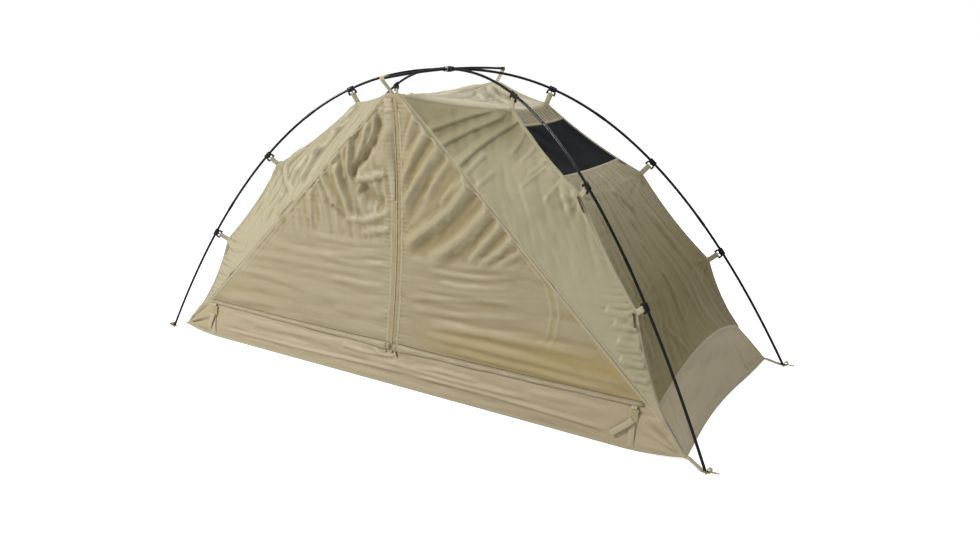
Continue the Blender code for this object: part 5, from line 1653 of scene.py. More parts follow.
def hook_and_frame():
    """The clip's moulding: Z along the pole and X towards the canopy."""
    angles = HOOK_START + HOOK_TURN * np.linspace(0, 1, 27)
    ways = stack(np.cos(angles), np.sin(angles), 0.0)
    wall = HOOK_WALL * np.interp(angles, [angles[0], angles[0] + 0.35, angles[-1] - 0.5, angles[-1]],
                                 [0.75, 1.0, 1.0, 1.35])
    rings = []
    for side, depth in ((-1, 0.0), (1, 0.0), (1, 0.75), (0.9, 1.0), (-0.9, 1.0), (-1, 0.75)):
        rings.append(ways * (HOOK_INNER + wall * depth)[:, None] + UP * side * HOOK_LENGTH / 2)
    pieces = [loft("hook", np.array(rings).transpose(1, 0, 2))]
    arm = [(HOOK_INNER + 0.0012, 0.0138), (0.0100, FRAME_HALF), (FRAME_FAR + 0.001, FRAME_HALF),
           (FRAME_FAR + 0.001, 0.0130), (BAR_HIGH, 0.0120)]
    notch = [(0.0100, 0.0106), (0.0100, 0.0022), (0.0138, 0.0018)]
    outline = arm + [(x, -z) for x, z in reversed(arm)]
    window = [(BAR_LOW, 0.0112)] + notch
    window += [(x, -z) for x, z in reversed(window)]
    ladder = plate("ladder", [outline, window], FRAME_DEPTH)
    ladder.data.transform(Matrix.Rotation(math.pi / 2, 4, "X"))
    return join("clip_moulding", pieces + [ladder])


def folded_tab(reach):
    """The webbing folded round the clip's bar, down to its seam at the reach."""
    bar = (BAR_LOW + BAR_HIGH) / 2
    angles = np.linspace(math.radians(70), math.radians(290), 13)
    turn = [(bar + BAR_WRAP * math.cos(a), BAR_WRAP * math.sin(a)) for a in angles]
    ply = WEBBING / 2 + PLY_GAP
    upper = [(reach, ply), (reach * 0.8, ply * 0.8), (bar + 0.011, ply), (bar + 0.005, 0.0018)]
    lower = [(x, -y) for x, y in reversed(upper[1:])] + [(reach + TAB_FOOT, -ply)]
    path = through([(x, y, 0.0) for x, y in upper + turn + lower], 60)
    normals = np.cross(tangents(path), UP)
    return ribbon("tab", path, normals, TAB_WIDTH, WEBBING, -WEBBING / 2)


def clip_frame(share, side_x, side_y):
    """A matrix at a clip: Z down the pole, X towards the tab's seam, and the reach to it."""
    step = share_of(CLIP_STRAIGHT, share)
    ends = [pole_point(share + sign * step, side_x, side_y) for sign in (-1, 1)]
    centre = (ends[0] + ends[1]) / 2
    along = unit(ends[1] - ends[0])
    reach = tab_seat(share, side_x, side_y) - centre
    towards = unit(reach - along * (reach @ along))
    place = placed(centre, towards, np.cross(along, towards), along)
    return place, float(np.linalg.norm(reach))


moulding = hook_and_frame()
for prefix, (side_x, side_y) in LEGS.items():
    for level, share in zip(("low", "middle", "high"), CLIP_SHARES):
        place, reach = clip_frame(share, side_x, side_y)
        clip = add_object(f"{prefix}_clip_{level}_moulding", moulding.data.copy())
        clip.matrix_world = place
        dress(clip, "tent", plastic_finish, "clip_black", [f"{prefix}_clip_{level}"])
        tab = folded_tab(reach)
        tab.name = f"{prefix}_clip_{level}_tab"
        tab.matrix_world = place
        dress(tab, "tent", webbing_finish, "webbing_tan", [f"{prefix}_clip_{level}"])
bpy.data.objects.remove(moulding)

# %% [markdown]
# Seams are what makes cloth panels read as a sewn tent. A tape is a thin ribbon laid on the panel: it
# asks the panel for its creased points and normals along a line, so it puckers with the cloth. Two
# helpers give the lines: one runs an even distance inside an edge, and one goes through places on the
# wall.

# %% Lines on the cloth
TAPE = 0.0006


def edge_line(panel, edge, inset, start=0.0, end=1.0, step=0.008):
    """The (u, v) places of a line that runs an inset inside one edge of the panel."""
    upright = edge in ("left", "right")
    length = float((panel.height() if upright else panel.width()).mean()) * (end - start)
    run = np.linspace(start, end, max(4, int(length / step)))
    breadths = panel.width() if upright else panel.height()
    share = inset / np.interp(run, np.linspace(0, 1, len(breadths)), breadths)
    share = np.clip(share if edge in ("left", "bottom") else 1 - share, 0, 1)
    return (share, run) if upright else (run, share)


def sew(name, panel, line, width, finish, slot, body="tent", thickness=TAPE, lift=CLOTH / 2):
    """A tape sewn flat on the outside of the cloth, along a line of (u, v) places."""
    u, v = line
    piece = ribbon(name, panel.at(u, v), panel.facing(u, v), width, thickness, lift)
    return dress(piece, body, finish, slot)


def wall_places(panel, points, count):
    """The (u, v) places of a smooth line through (x, z) points of a wall panel."""
    line = through([(x, z, 0.0) for x, z in points], count)
    u = np.full(count, 0.5)
    v = np.full(count, 0.5)
    for step in range(24):
        here = panel.pick(panel.base, u, v)
        size_x = panel.pick(panel.base, np.ones(count), v) - panel.pick(panel.base, np.zeros(count), v)
        rise = panel.base[-1, 0, 2] - panel.base[0, 0, 2]
        v = np.clip(v + 0.9 * (line[:, 1] - here[:, 2]) / rise, 0, 1)
        u = np.clip(u + 0.9 * (line[:, 0] - here[:, 0]) / size_x[:, 0], 0, 1)
    return u, v


SEAMS = []


def seam(name, panel, edge, inset, width, slot="canopy_cloth", body="tent", **ends):
    """One sewn tape inside an edge, counted in the list of seams."""
    sew(name, panel, edge_line(panel, edge, inset, **ends), width, tape_finish, slot, body)
    SEAMS.append(name)


print("line helpers ready")

# %% [markdown]
# The ridge seams carry the tent's load, so they are folded over twice and show as a pale band with a
# cord-like edge. The eaves, the door seams and the bathtub's edges have narrower bindings. Every
# tape lies on the body that its cloth belongs to, because the door flaps open.

# %% Sewn seams
for side, side_x in SIDES:
    panel, flap = side_panels[side], flaps[side]
    wall, vent, tub = end_walls[side], vents[side], tub_ends[side]
    seam(f"front_ridge_{side}_tape", panel, "right", 0.0050, 0.0095)
    seam(f"door_seam_{side}_tape", panel, "left", 0.0082, 0.0070)
    seam(f"front_eave_{side}_tape", panel, "top", 0.0050, 0.0090, start=0.01, end=0.97)
    seam(f"front_hem_{side}_tape", panel, "bottom", 0.0050, 0.0080)
    seam(f"flap_edge_{side}_tape", flap, "right", 0.0092, 0.0080, body=f"{side}_flap", end=0.985)
    for edge in ("left", "right"):
        seam(f"end_ridge_{side}_{edge}_tape", wall, edge, 0.0045, 0.0075)
        seam(f"tub_end_{side}_{edge}_tape", tub, edge, 0.0045, 0.0080, slot="tub_cloth")
        seam(f"vent_edge_{side}_{edge}_tape", vent, edge, 0.0040, 0.0070)
    seam(f"vent_sill_{side}_tape", wall, "top", 0.0050, 0.0090)
    seam(f"end_hem_{side}_tape", wall, "bottom", 0.0045, 0.0080)
    seam(f"tub_end_top_{side}_tape", tub, "top", 0.0040, 0.0070, slot="tub_cloth")
    seam(f"tub_end_foot_{side}_tape", tub, "bottom", 0.0055, 0.0100, slot="tub_cloth")
    seam(f"vent_head_{side}_tape", roof, "left" if side_x < 0 else "right", 0.0050, 0.0090)
for word, tub in tubs.items():
    seam(f"tub_{word}_top_tape", tub, "top", 0.0042, 0.0080, slot="tub_cloth")
    seam(f"tub_{word}_foot_tape", tub, "bottom", 0.0055, 0.0100, slot="tub_cloth")
    for edge in ("left", "right"):
        seam(f"tub_{word}_{edge}_tape", tub, edge, 0.0050, 0.0085, slot="tub_cloth")
for edge in ("bottom", "top"):
    seam(f"roof_{edge}_tape", roof, edge, 0.0050, 0.0090, start=0.005, end=0.995)
for edge in ("left", "right"):
    seam(f"rear_ridge_{edge}_tape", rear, edge, 0.0060, 0.0115)
for edge in ("top", "bottom"):
    seam(f"rear_{edge}_tape", rear, edge, 0.0050, 0.0085)
for word, share in (("left", REAR_BREAKS[1]), ("right", REAR_BREAKS[3])):
    line = np.full(120, share), np.linspace(0.004, 0.996, 120)
    sew(f"rear_panel_{word}_tape", rear, line, 0.0090, tape_finish, "canopy_cloth")

# The ridge's folded edge stands a little proud of both panels
RIDGE_FOLD_RADIUS = 0.0017
RIDGE_FOLD_LIFT = 0.0006
CORNER_FOLD_RADIUS = 0.0014
CORNER_FOLD_INSET = 0.0006
for prefix, (side_x, side_y) in LEGS.items():
    ridge = ridge_point(np.linspace(0.0, 2.999, 200), side_x, side_y)
    lift = unit(np.array([side_x * 0.8, side_y * 0.9, 0.35])) * RIDGE_FOLD_LIFT
    ridge_fold = tube(f"{prefix}_ridge_fold", ridge + lift, RIDGE_FOLD_RADIUS, 8)
    dress(ridge_fold, "tent", tape_finish, "canopy_cloth")
for side, tub in tub_ends.items():
    for word, edge in (("front", "left"), ("rear", "right")):
        u, v = edge_line(tub, edge, CORNER_FOLD_INSET)
        corner_fold = tube(f"{word}_corner_{side}_fold", tub.at(u, v), CORNER_FOLD_RADIUS, 8)
        dress(corner_fold, "tent", tape_finish, "tub_cloth")
print("sewn tapes", len(SEAMS))

# %% [markdown]
# The door closes with one upright coil zip and one along the hem on each side. A coil is a spiral of
# nylon thread sewn to the tape's edge, so it is modelled as one: a helix that follows the cloth.
# Each half belongs to its own flap. Near the top a fold of cloth and a stitched patch cover the zip.

# %% Zips
COIL_RADIUS = 0.00145
COIL_THREAD = 0.00068
COIL_PITCH = 0.0022
COIL_LIFT = 0.0019
POINTS_A_TURN = 7
ZIP_TAPE_WIDTH = 0.0180
ZIP_TAPE = 0.0008
coil_finish = hard_finish("zip_coil", (0.450, 0.385, 0.250), 0.60, 900.0, 0.00003)


def coil(name, panel, line, body, start=0.0):
    """A spiral of thread along a line on the cloth, from a start angle."""
    u, v = line
    path = panel.at(u, v, COIL_LIFT)
    run = run_along(path)
    here = np.linspace(0, run[-1], int(run[-1] / COIL_PITCH * POINTS_A_TURN))
    middle = np.stack([np.interp(here, run, path[:, axis]) for axis in range(3)], 1)
    facing = panel.facing(np.interp(here, run, u), np.interp(here, run, v))
    aside = unit(np.cross(tangents(middle), facing))
    angle = start + here / COIL_PITCH * math.tau
    spiral = middle + aside * (COIL_RADIUS * np.cos(angle))[:, None]
    spiral += facing * (COIL_RADIUS * 0.75 * np.sin(angle))[:, None]
    dress(tube(name, spiral, COIL_THREAD, 4), body, coil_finish, "door_cloth")


for side, flap in flaps.items():
    body = f"{side}_flap"
    line = edge_line(flap, "left", ZIP_TAPE_WIDTH / 2 + 0.0002, 0.0, 0.975)
    sew(f"door_zip_{side}_tape", flap, line, ZIP_TAPE_WIDTH, zip_tape_finish, "door_cloth", body, ZIP_TAPE)
    line = edge_line(flap, "left", 0.0005, 0.004, 0.965, 0.006)
    coil(f"door_zip_{side}_coil", flap, line, body, math.pi if side == "left" else 0.0)
    line = edge_line(flap, "left", ZIP_TAPE_WIDTH + 0.0050, 0.0, 0.93)
    sew(f"door_zip_{side}_binding", flap, line, 0.0085, tape_finish, "door_cloth", body)
    line = edge_line(flap, "bottom", 0.0044, 0.006, 0.985)
    sew(f"hem_zip_{side}_tape", flap, line, 0.0060, zip_tape_finish, "door_cloth", body, ZIP_TAPE)
    line = edge_line(flap, "bottom", 0.0038, 0.03, 0.985, 0.006)
    coil(f"hem_zip_{side}_coil", flap, line, body)
print("zip parts", len([o for o in bpy.data.objects if "zip" in o.name]))

# %% [markdown]
# A storm strip hangs over each hem zip. Its top edge is sewn to the flap and its lower edge hangs
# free, far enough out for the slider to pass behind it. It is widest at the middle of the door.

# %% Storm strips and zip cover
STRIP_SEAM = 0.0104
STRIP_STAND = 0.0078
STRIP_THICKNESS = 0.0010
STRIP_ROWS = 7
STRIP_END = 0.985
COVER_WIDTHS = (0.038, 0.020)
COVER_POINTS = 60
# A dark tape that paints the shadow under the fold above each storm strip
crease_shadow_finish = strap_finish("painted_crease_shadow", (0.095, 0.070, 0.030), 0.0030, 0.0013, 0.00010, 0.7)


def strip_line(flap, above):
    """A line along the top of the storm strip, a distance above its seam and higher at the middle."""
    run, share = edge_line(flap, "bottom", STRIP_SEAM + above, 0.004, STRIP_END, 0.007)
    higher = edge_line(flap, "bottom", STRIP_SEAM + above + 0.0034, 0.004, STRIP_END, 0.007)[1]
    return run, higher + (share - higher) * smooth(run, 0.0, 0.22)


def storm_strip(name, side_x, flap):
    """A strip of cloth over the hem zip, sewn along its top edge."""
    u, top = strip_line(flap, 0.0)
    sewn = flap.at(u, top, 0.0009)
    facing = flap.facing(u, top)
    low = hem_point(sewn[:, 0], -1)
    drop = 0.0105 - 0.0042 * smooth(u, 0.0, 0.22) - 0.0028 * u
    low[:, 2] -= drop
    low[:, 1] -= STRIP_STAND + 0.0010 * np.sin(u * 23) - 0.10 * drop
    rows = []
    for share in np.linspace(0, 1, STRIP_ROWS):
        line = lerp(sewn, low, np.full(len(u), share))
        bulge = 0.0028 * arch(share) + 0.0007 * np.sin(u * 57 + 5 * share)
        rows.append(line + facing * (bulge * min(1.0, 4 * share))[:, None])
    grid = np.array(rows)
    run = run_along(low)
    lay = np.broadcast_arrays(run, np.linspace(0.03, 0, STRIP_ROWS)[:, None])
    faces = grid_faces(*grid.shape[:2], side_x > 0)
    piece = mesh_object(name, grid, faces, np.stack(lay, -1), np.zeros(grid.shape[:2]))
    thicken(piece, STRIP_THICKNESS)
    return piece


for side, side_x in SIDES:
    flap, body = flaps[side], f"{side}_flap"
    dress(storm_strip(f"storm_strip_{side}", side_x, flap), body, door_nylon, "door_cloth")
    line = strip_line(flap, 0.0004)
    sew(f"storm_seam_{side}", flap, line, 0.0020, tape_finish, "door_cloth", body)
    # Painted shadow: a dark line along the fold above the strip
    line = strip_line(flap, 0.0026)
    sew(f"storm_crease_shadow_{side}", flap, line, 0.0022, crease_shadow_finish, "door_cloth", body)
flap = flaps["left"]
line = wall_places(flap, [(-0.0215, 1.022), (-0.0215, 0.972)], 14)
sew("zip_top_patch", flap, line, 0.036, webbing_finish, "webbing_tan", "left_flap", 0.0011, 0.0014)
line = wall_places(flap, [(-0.020, 0.968), (-0.021, 0.820), (-0.016, 0.665)], COVER_POINTS)
widths = np.linspace(*COVER_WIDTHS, COVER_POINTS)
cover = sew("zip_cover", flap, line, widths, tape_finish, "door_cloth", "left_flap", 0.0010, 0.0030)
cover_length = float(run_along(flap.at(*line))[-1])
print("storm strips and zip cover made")

# %% [markdown]
# Small sewn parts carry the load from the clips into the cloth: a patch under each tab, a patch at
# each peak, and narrow tie tapes that hang beside the lower tabs on the right. They are short tapes
# laid on the same panels.

# %% Patches and ties
tie_finish = strap_finish("tie_tape", (0.110, 0.092, 0.048), 0.0022, 0.0012, 0.00010, 0.7)
PATCH_LENGTH = 0.030
TIE_INSET = 0.0125


def patch_line(panel, edge, middle, inset, length=PATCH_LENGTH):
    """A short line beside one edge of a panel, about a share of its height."""
    reach = length / 2 / float(panel.height().mean())
    low, high = max(middle - reach, 0.002), min(middle + reach, 0.996)
    return edge_line(panel, edge, inset, low, high, 0.0025)


for level, rise in (("low", 1 / 3), ("middle", 2 / 3), ("high", 1.0)):
    for side, panel in side_panels.items():
        for word, cloth, edge in (("front", panel, "right"), ("rear", rear, side)):
            line = patch_line(cloth, edge, rise, 0.0150)
            sew(f"tab_patch_{word}_{side}_{level}", cloth, line, 0.0110, tape_finish, "canopy_cloth")
panel = side_panels["right"]
for level, rise, length in (("low", 0.302, 0.062), ("middle", 0.640, 0.055)):
    name = f"tie_right_{level}"
    line = patch_line(panel, "right", rise, TIE_INSET, length)
    sew(name, panel, line, 0.0060, tie_finish, "webbing_tan", "tent", 0.0022, 0.0016)
    line = patch_line(panel, "right", rise + 0.004, TIE_INSET + 0.0052, length * 0.8)
    sew(f"{name}_back", panel, line, 0.0050, webbing_finish, "webbing_tan", "tent", 0.0014, 0.0008)
for word, low, high in (("front", 0.003, 0.055), ("rear", 0.945, 0.997)):
    line = np.full(14, 0.5), np.linspace(low, high, 14)
    sew(f"peak_patch_{word}", roof, line, 0.030, webbing_finish, "webbing_tan", "tent", 0.0012)
print("patches", len([o for o in bpy.data.objects if "patch" in o.name]))

# %% [markdown]
# Under the vents hang a few knotted cords, too short to sway, and the left ridge has a ring of
# thread. Cords and eyelets start as an oval of points. The hub's pale band is a flat strap that
# arches over the crossing and under it.

# %% Small cords and the hub's band
HUB_HALF = 0.0134
BAND_WIDTH = 0.0084
BAND_THICKNESS = 0.0014
# The band's arch over the hub, as (y, height above the hub's middle)
BAND_ARCH = [(-HUB_HALF, 0.0052), (-HUB_HALF, 0.0078), (-0.0116, 0.0094), (0.0, 0.0094),
             (0.0116, 0.0094), (HUB_HALF, 0.0078), (HUB_HALF, 0.0052)]
EYELET_RADIUS = 0.0064
EYELET_WIRE = 0.0014
EYELET_STAND = 0.0006
RING_STATION = 2.27
RING_AIM = (0.45, 2.3)


def ring_path(centre, across, up, radius_a, radius_b, count=28):
    """Points round an oval in the plane of two directions."""
    angles = np.linspace(0, math.tau, count, endpoint=False)
    return (np.asarray(centre) + np.outer(np.cos(angles) * radius_a, across)
            + np.outer(np.sin(angles) * radius_b, up))


def knotted_loop(name, start, way, aside, loop, tails, radius):
    """A cord tied in a loop, with a round knot and two short tails that spread."""
    start, way, aside = (np.asarray(v, float) for v in (start, way, aside))
    out = np.cross(way, aside)
    middle = start + way * loop / 2
    pieces = [tube("loop", ring_path(middle, way, aside, loop / 2, loop * 0.16), radius, 8, True, out)]
    knot = start + way * loop
    for size, tip in ((1.7, 0.25), (1.35, -0.35)):
        ways = unit(way * tip + aside + out * 0.3)
        turn = ring_path(knot, ways, out, radius * size, radius * size * 1.1, 18)
        pieces.append(tube("knot", turn, radius * 0.95, 8, True, way))
    for side, share in ((-1, 1.0), (1, 0.85)):
        bend = knot + way * tails * 0.3 + aside * side * tails * 0.06
        end = knot + way * tails * share + aside * side * tails * 0.42
        path = through([knot, bend, end], 12)
        pieces.append(tube("tail", path, np.append(np.full(11, radius), radius * 0.7), 8))
    return join(name, pieces)


# The band runs over and under the hub, with an eyelet for the brow pole on each side
hub_middle = np.array([0.0, 0.0, PEAK_HEIGHT])
parts = []
for way in (-1, 1):
    path = through([hub_middle + (0.0, y, way * z) for y, z in BAND_ARCH], 40)
    parts.append(ribbon("band", path, unit(path - hub_middle), BAND_WIDTH, BAND_THICKNESS))
    centre = hub_middle + (0.0, way * (HUB_HALF + EYELET_STAND), 0.0)
    eye = ring_path(centre, (1, 0, 0), (0, 0, 1), EYELET_RADIUS, EYELET_RADIUS)
    parts.append(tube("eyelet", eye, EYELET_WIRE, 10, True, (0, 1, 0)))
dress(join("hub_band_ring", parts), "tent", band_finish, "band_pale", ["hub_band"])
hub_slots = frame["nodes"]["hub"].data.materials
hub_slots.clear()
hub_slots.append(plastic_finish)

upward = unit(pole_point(RING_AIM[0], -1, -1) - ridge_point(RING_AIM[1], -1, -1))
centre = ridge_point(RING_STATION, -1, -1) + upward * 0.008
ring = ring_path(centre, unit(np.cross(upward, UP)), upward, 0.0075, 0.0095)
thread = tube("ridge_thread_ring", ring, 0.0008, 6, True, (0, 0, 1))
dress(thread, "tent", webbing_finish, "webbing_tan")
for side, wall in end_walls.items():
    for word, across in (("front", 0.035), ("rear", 0.965)):
        spot = wall.at(across, 0.985, 0.0022)
        down = unit(wall.at(across, 0.93) - wall.at(across, 0.985))
        face = wall.facing(across, 0.985)
        aside = np.cross(down, face)
        loop = knotted_loop(f"vent_toggle_{side}_{word}", spot, down, aside, 0.020, 0.010, 0.0012)
        dress(loop, "tent", tie_finish if word == "rear" else webbing_finish, "webbing_tan")
print("small cords made")

# %% [markdown]
# Webbing is soft but keeps its width, so a strap is an outline that only turns about its own width.
# The brow straps fold over the ends of the short pole. Each corner strap runs from the floor to the
# pole's pin, has a grommet for it, and is folded back into a loop for the stake.

# %% Brow straps and corner straps
BROW_CLEAR = POLE_RADIUS + WEBBING / 2 + 0.0004
BROW_WIDTHS = [0.0200, 0.0200, 0.0190, 0.0180]
CORNER_WIDTHS = [0.0200, 0.0196, 0.0188, 0.0184, 0.0180, 0.0176]
GROMMET_HOLE = 0.0058
GROMMET_RING = GROMMET_HOLE + 0.0008
GROMMET_RIM = 0.0013
STRAP_HEIGHT = 0.0085
STAKE_LOOP = 0.0065


def carve(piece, cutter):
    """Cuts one mesh out of another and keeps the result as plain geometry."""
    step = piece.modifiers.new("carve", "BOOLEAN")
    step.solver = "EXACT"
    step.object = cutter
    bpy.context.view_layer.update()
    graph = bpy.context.evaluated_depsgraph_get()
    mesh = bpy.data.meshes.new_from_object(piece.evaluated_get(graph), depsgraph=graph)
    piece.modifiers.clear()
    piece.data = mesh
    mesh.set_sharp_from_angle(angle=math.radians(40))
    bpy.data.objects.remove(cutter)
    return piece


def flat_strap(name, points, across, widths, count, thickness=WEBBING):
    """A strap through a few points, its width along one direction and changing on the way."""
    path = through(points, count)
    normals = np.cross(np.asarray(across, float), tangents(path))
    widths = np.interp(np.linspace(0, 1, count), np.linspace(0, 1, len(widths)), widths)
    return ribbon(name, path, normals, widths, thickness, -thickness / 2)


for word, side_y in (("front", -1), ("rear", 1)):
    end, out = brow_end(side_y), np.array([0.0, side_y, 0.0])
    foot = peak(side_y) + UP * 0.0018 + out * 0.002
    points = [end - out * 0.022 + UP * (BROW_CLEAR + 0.0018), end - out * 0.008 + UP * (BROW_CLEAR + 0.0010),
              end + out * 0.0012 + UP * (BROW_CLEAR + 0.0002), end + out * 0.0026 + UP * BROW_CLEAR * 0.5,
              end + out * 0.0026 - UP * BROW_CLEAR * 0.5, end - out * 0.001 - UP * (BROW_CLEAR + 0.002),
              lerp(end, foot, 0.6) - UP * 0.003, foot]
    strap = flat_strap(f"brow_strap_{word}_webbing", points, (1, 0, 0), BROW_WIDTHS, 70)
    dress(strap, "tent", webbing_finish, "webbing_tan", [f"brow_strap_{word}"])

for prefix, (side_x, side_y) in LEGS.items():
    foot, tangent = pole_point(1.0, side_x, side_y), pole_tangent(1.0, side_x, side_y)
    seat = foot - tangent * (STRAP_HEIGHT / -tangent[2])
    corner, out = tub_corner(side_x, side_y), np.array([side_x, 0.0, 0.0])
    centre = seat + out * 0.012 + UP * STAKE_LOOP
    angles = np.radians(range(0, 290, 24))
    turn = [centre + (out * math.sin(a) - UP * math.cos(a)) * STAKE_LOOP for a in angles]
    points = [corner + UP * 0.0010 - out * 0.004, corner + UP * 0.0012 + out * 0.006,
              lerp(corner, seat, 0.55) - UP * 0.0008, seat - out * 0.009, seat, seat + out * 0.008, *turn]
    strap = flat_strap(f"{prefix}_corner_strap_webbing", points, (0, 1, 0), CORNER_WIDTHS, 96)
    carve(strap, tube("pin", [seat - UP * 0.01, seat + UP * 0.01], GROMMET_HOLE, 24))
    dress(strap, "tent", webbing_finish, "webbing_tan", [f"{prefix}_corner_strap"])
    rim = ring_path(seat, (1, 0, 0), (0, 1, 0), GROMMET_RING, GROMMET_RING, 32)
    rings = [tube("rim", rim + UP * 0.0010 * side, GROMMET_RIM, 8, True, UP) for side in (-1, 1)]
    dress(join(f"{prefix}_grommet", rings), "tent", grommet_finish, "zip_metal")
    tip = centre + out * STAKE_LOOP * 0.2 - UP * STAKE_LOOP * 0.55
    knot = knotted_loop(f"{prefix}_stake_cord", tip, out, (0, 1, 0), 0.017, 0.013, 0.0014)
    dress(knot, "tent", webbing_finish, "webbing_tan")

# %% [markdown]
# A zip's slider is a shield-shaped plate with a channel behind it for the coil, two lugs and a pull
# that turns on them. The channel is left open, so the slider can run up the coil without cutting it.

# %% Sliders and pulls
SLIDER_WIDTH = 0.009
SLIDER_LENGTH = 0.013
SLIDER_HEIGHT = 0.004
SLIDER_RISE = 0.0010
HEM_SLIDER_WIDTH = 0.0076
HEM_SLIDER_RISE = 0.0008
HEM_SLIDER_X = 0.024
HEM_TAG = 0.0014
PULL_WIDTH = 0.0050
PULL_LENGTH = 0.026
PULL_THICKNESS = 0.0018
PULL_EYE = 0.00125
EYE_SHARE = 0.84
SHIELD = 0.0013
# How far the tape through each hem slider's pull hangs down, and how far it leans to the right
HEM_TAPES = {"left": (0.024, -0.004), "right": (0.034, 0.010)}
HEM_TAPE_WIDTHS = [0.0070, 0.0080, 0.0080, 0.0070]
# The bars over the slider that the pull hangs on, as (y, height above the slider)
LUG = ((-0.0022, 0), (-0.0013, 0.0022), (0, 0.0028), (0.0013, 0.0022), (0.0022, 0))
BRIDGE = ((-0.0045, -0.0003), (-0.0038, 0.0013), (0, 0.0017), (0.0038, 0.0013), (0.0045, -0.0003))
wall_up = unit(peak(-1) - hem_point(0.0, -1))
wall_out = np.array([0.0, -wall_up[2], wall_up[1]])


def wall_matrix(place, along=wall_up):
    """A matrix on the front wall: Z out of it, and Y up it unless another way is given."""
    return placed(place, np.cross(along, wall_out), along, wall_out)


def slider_parts(lugs, width=SLIDER_WIDTH):
    """A slider in its own frame: its back at Z 0, its length along Y."""
    half, long = width / 2, SLIDER_LENGTH / 2
    shield = [(half * 0.62, long), (half, long * 0.55), (half * 0.94, -long * 0.2), (half * 0.66, -long),
              (-half * 0.66, -long), (-half * 0.94, -long * 0.2), (-half, long * 0.55), (-half * 0.62, long)]
    top = plate("shield", [shield], SHIELD, 0.0003)
    top.location.z = SLIDER_HEIGHT - SHIELD / 2
    parts = [top]
    for side in (-1, 1):
        edge = [(side * half * 0.9, y * long, 0.0021) for y in (-0.7, -0.2, 0.35, 0.75)]
        parts.append(tube("flange", edge, [0.0006, 0.0009, 0.0010, 0.0006], 8))
        if lugs:
            aside = side * (PULL_WIDTH / 2 + 0.0011)
            parts.append(tube("lug", [(aside, y, SLIDER_HEIGHT + z) for y, z in LUG], 0.0007, 8))
    if not lugs:
        parts.append(tube("bridge", [(0, y, SLIDER_HEIGHT + z) for y, z in BRIDGE], 0.0008, 8))
    return parts


def pull_outline():
    """A pull tag's rounded outline and its hole, hanging from Y 0."""
    half, tip, length = PULL_WIDTH / 2, PULL_WIDTH * 0.72, PULL_LENGTH
    side = [(half, 0.0006), (half * 0.8, -length * 0.3), (half * 0.9, -length * 0.55),
            (tip, -length * 0.72), (tip, -length * 0.92), (tip * 0.6, -length)]
    hole = [(PULL_EYE * 1.2 * math.cos(a), -length * EYE_SHARE + PULL_EYE * math.sin(a))
            for a in np.linspace(0, math.tau, 13)[:-1]]
    return [side + [(-x, y) for x, y in reversed(side)], hole]


door_x = 0.0012 + SLIDER_WIDTH / 2
seat = hem_point(door_x, -1) + wall_up * SLIDER_RISE + wall_out * (CLOTH / 2 + 0.0003)
centre = seat + wall_up * SLIDER_LENGTH / 2
slider = join("door_slider_body", slider_parts(True))
slider.data.transform(wall_matrix(centre))
dress(slider, "door_slider", slider_finish, "zip_metal", ["door_zip_slider"])
hinge = centre + wall_out * (SLIDER_HEIGHT + PULL_THICKNESS / 2 + 0.0004)
pull = plate("door_pull_tag", pull_outline(), PULL_THICKNESS - 0.0002)
pull.data.transform(wall_matrix(hinge))
eye = hinge - wall_up * (PULL_LENGTH * EYE_SHARE - 0.0012) + wall_out * 0.0004
dress(pull, "door_pull", slider_finish, "zip_metal", ["door_zip_pull"])
cord = knotted_loop("door_pull_cord", eye, -wall_up, (1, 0, 0), 0.016, 0.022, 0.0013)
dress(cord, "door_pull", webbing_finish, "webbing_tan")

for side, side_x in SIDES:
    seat = hem_point(side_x * HEM_SLIDER_X, -1) + wall_up * HEM_SLIDER_RISE + wall_out * (CLOTH / 2 + 0.0012)
    centre = seat + wall_up * HEM_SLIDER_WIDTH / 2
    slider = join(f"hem_slider_{side}_body", slider_parts(False, HEM_SLIDER_WIDTH))
    slider.data.transform(wall_matrix(centre, (1, 0, 0)))
    tag = plate("tag", pull_outline(), HEM_TAG)
    place = centre + wall_out * (SLIDER_HEIGHT + 0.0009)
    tag.data.transform(wall_matrix(place) @ Matrix.Rotation(math.radians(2 * side_x), 4, "Z"))
    body = f"{side}_hem_slider"
    dress(join(f"hem_slider_{side}_body", [slider, tag]), body, slider_finish, "zip_metal",
          [f"hem_zip_slider_{side}"])
    eye = place - wall_up * PULL_LENGTH * EYE_SHARE
    aside = np.array([1.0, 0.0, 0.0])
    drop, lean = HEM_TAPES[side]
    loop = [eye + wall_out * 0.0010 + wall_up * 0.001, eye + wall_out * 0.0026 - wall_up * 0.002,
            eye + wall_out * 0.0022 - wall_up * drop * 0.5 + aside * lean * 0.5,
            eye + wall_out * 0.0012 - wall_up * drop + aside * lean,
            eye + wall_out * 0.0002 - wall_up * drop * 0.98 + aside * lean,
            eye - wall_out * 0.0003 - wall_up * drop * 0.5 + aside * lean * 0.5,
            eye - wall_out * 0.0012 - wall_up * 0.002, eye - wall_out * 0.0006 + wall_up * 0.001]
    tape = flat_strap(f"hem_pull_{side}", loop, (1, 0, 0), HEM_TAPE_WIDTHS, 50, 0.0010)
    dress(tape, body, webbing_finish, "webbing_tan")
print("sliders and pulls made")

# %% [markdown]
# The side-release buckles hang on a webbing loop at the hem. The female half is a flat shell with a
# window on each side for the prongs. It starts as rounded rings carried down its length, and the
# mouth, windows and loop slot are cut out of it. The male half takes the strap from the ground hem.

# %% Buckles
BUCKLE_DOWN = 0.027
BUCKLE_STAND = 0.0065
CAVITY = (0.0296, 0.0400, 0.0046)
WINDOW = (0.0700, 0.0090, 0.0037)
STRAP_SLOT = (0.0210, 0.0300, 0.0030)
LOOP_SLOT = (0.0205, 0.0026, 0.03)
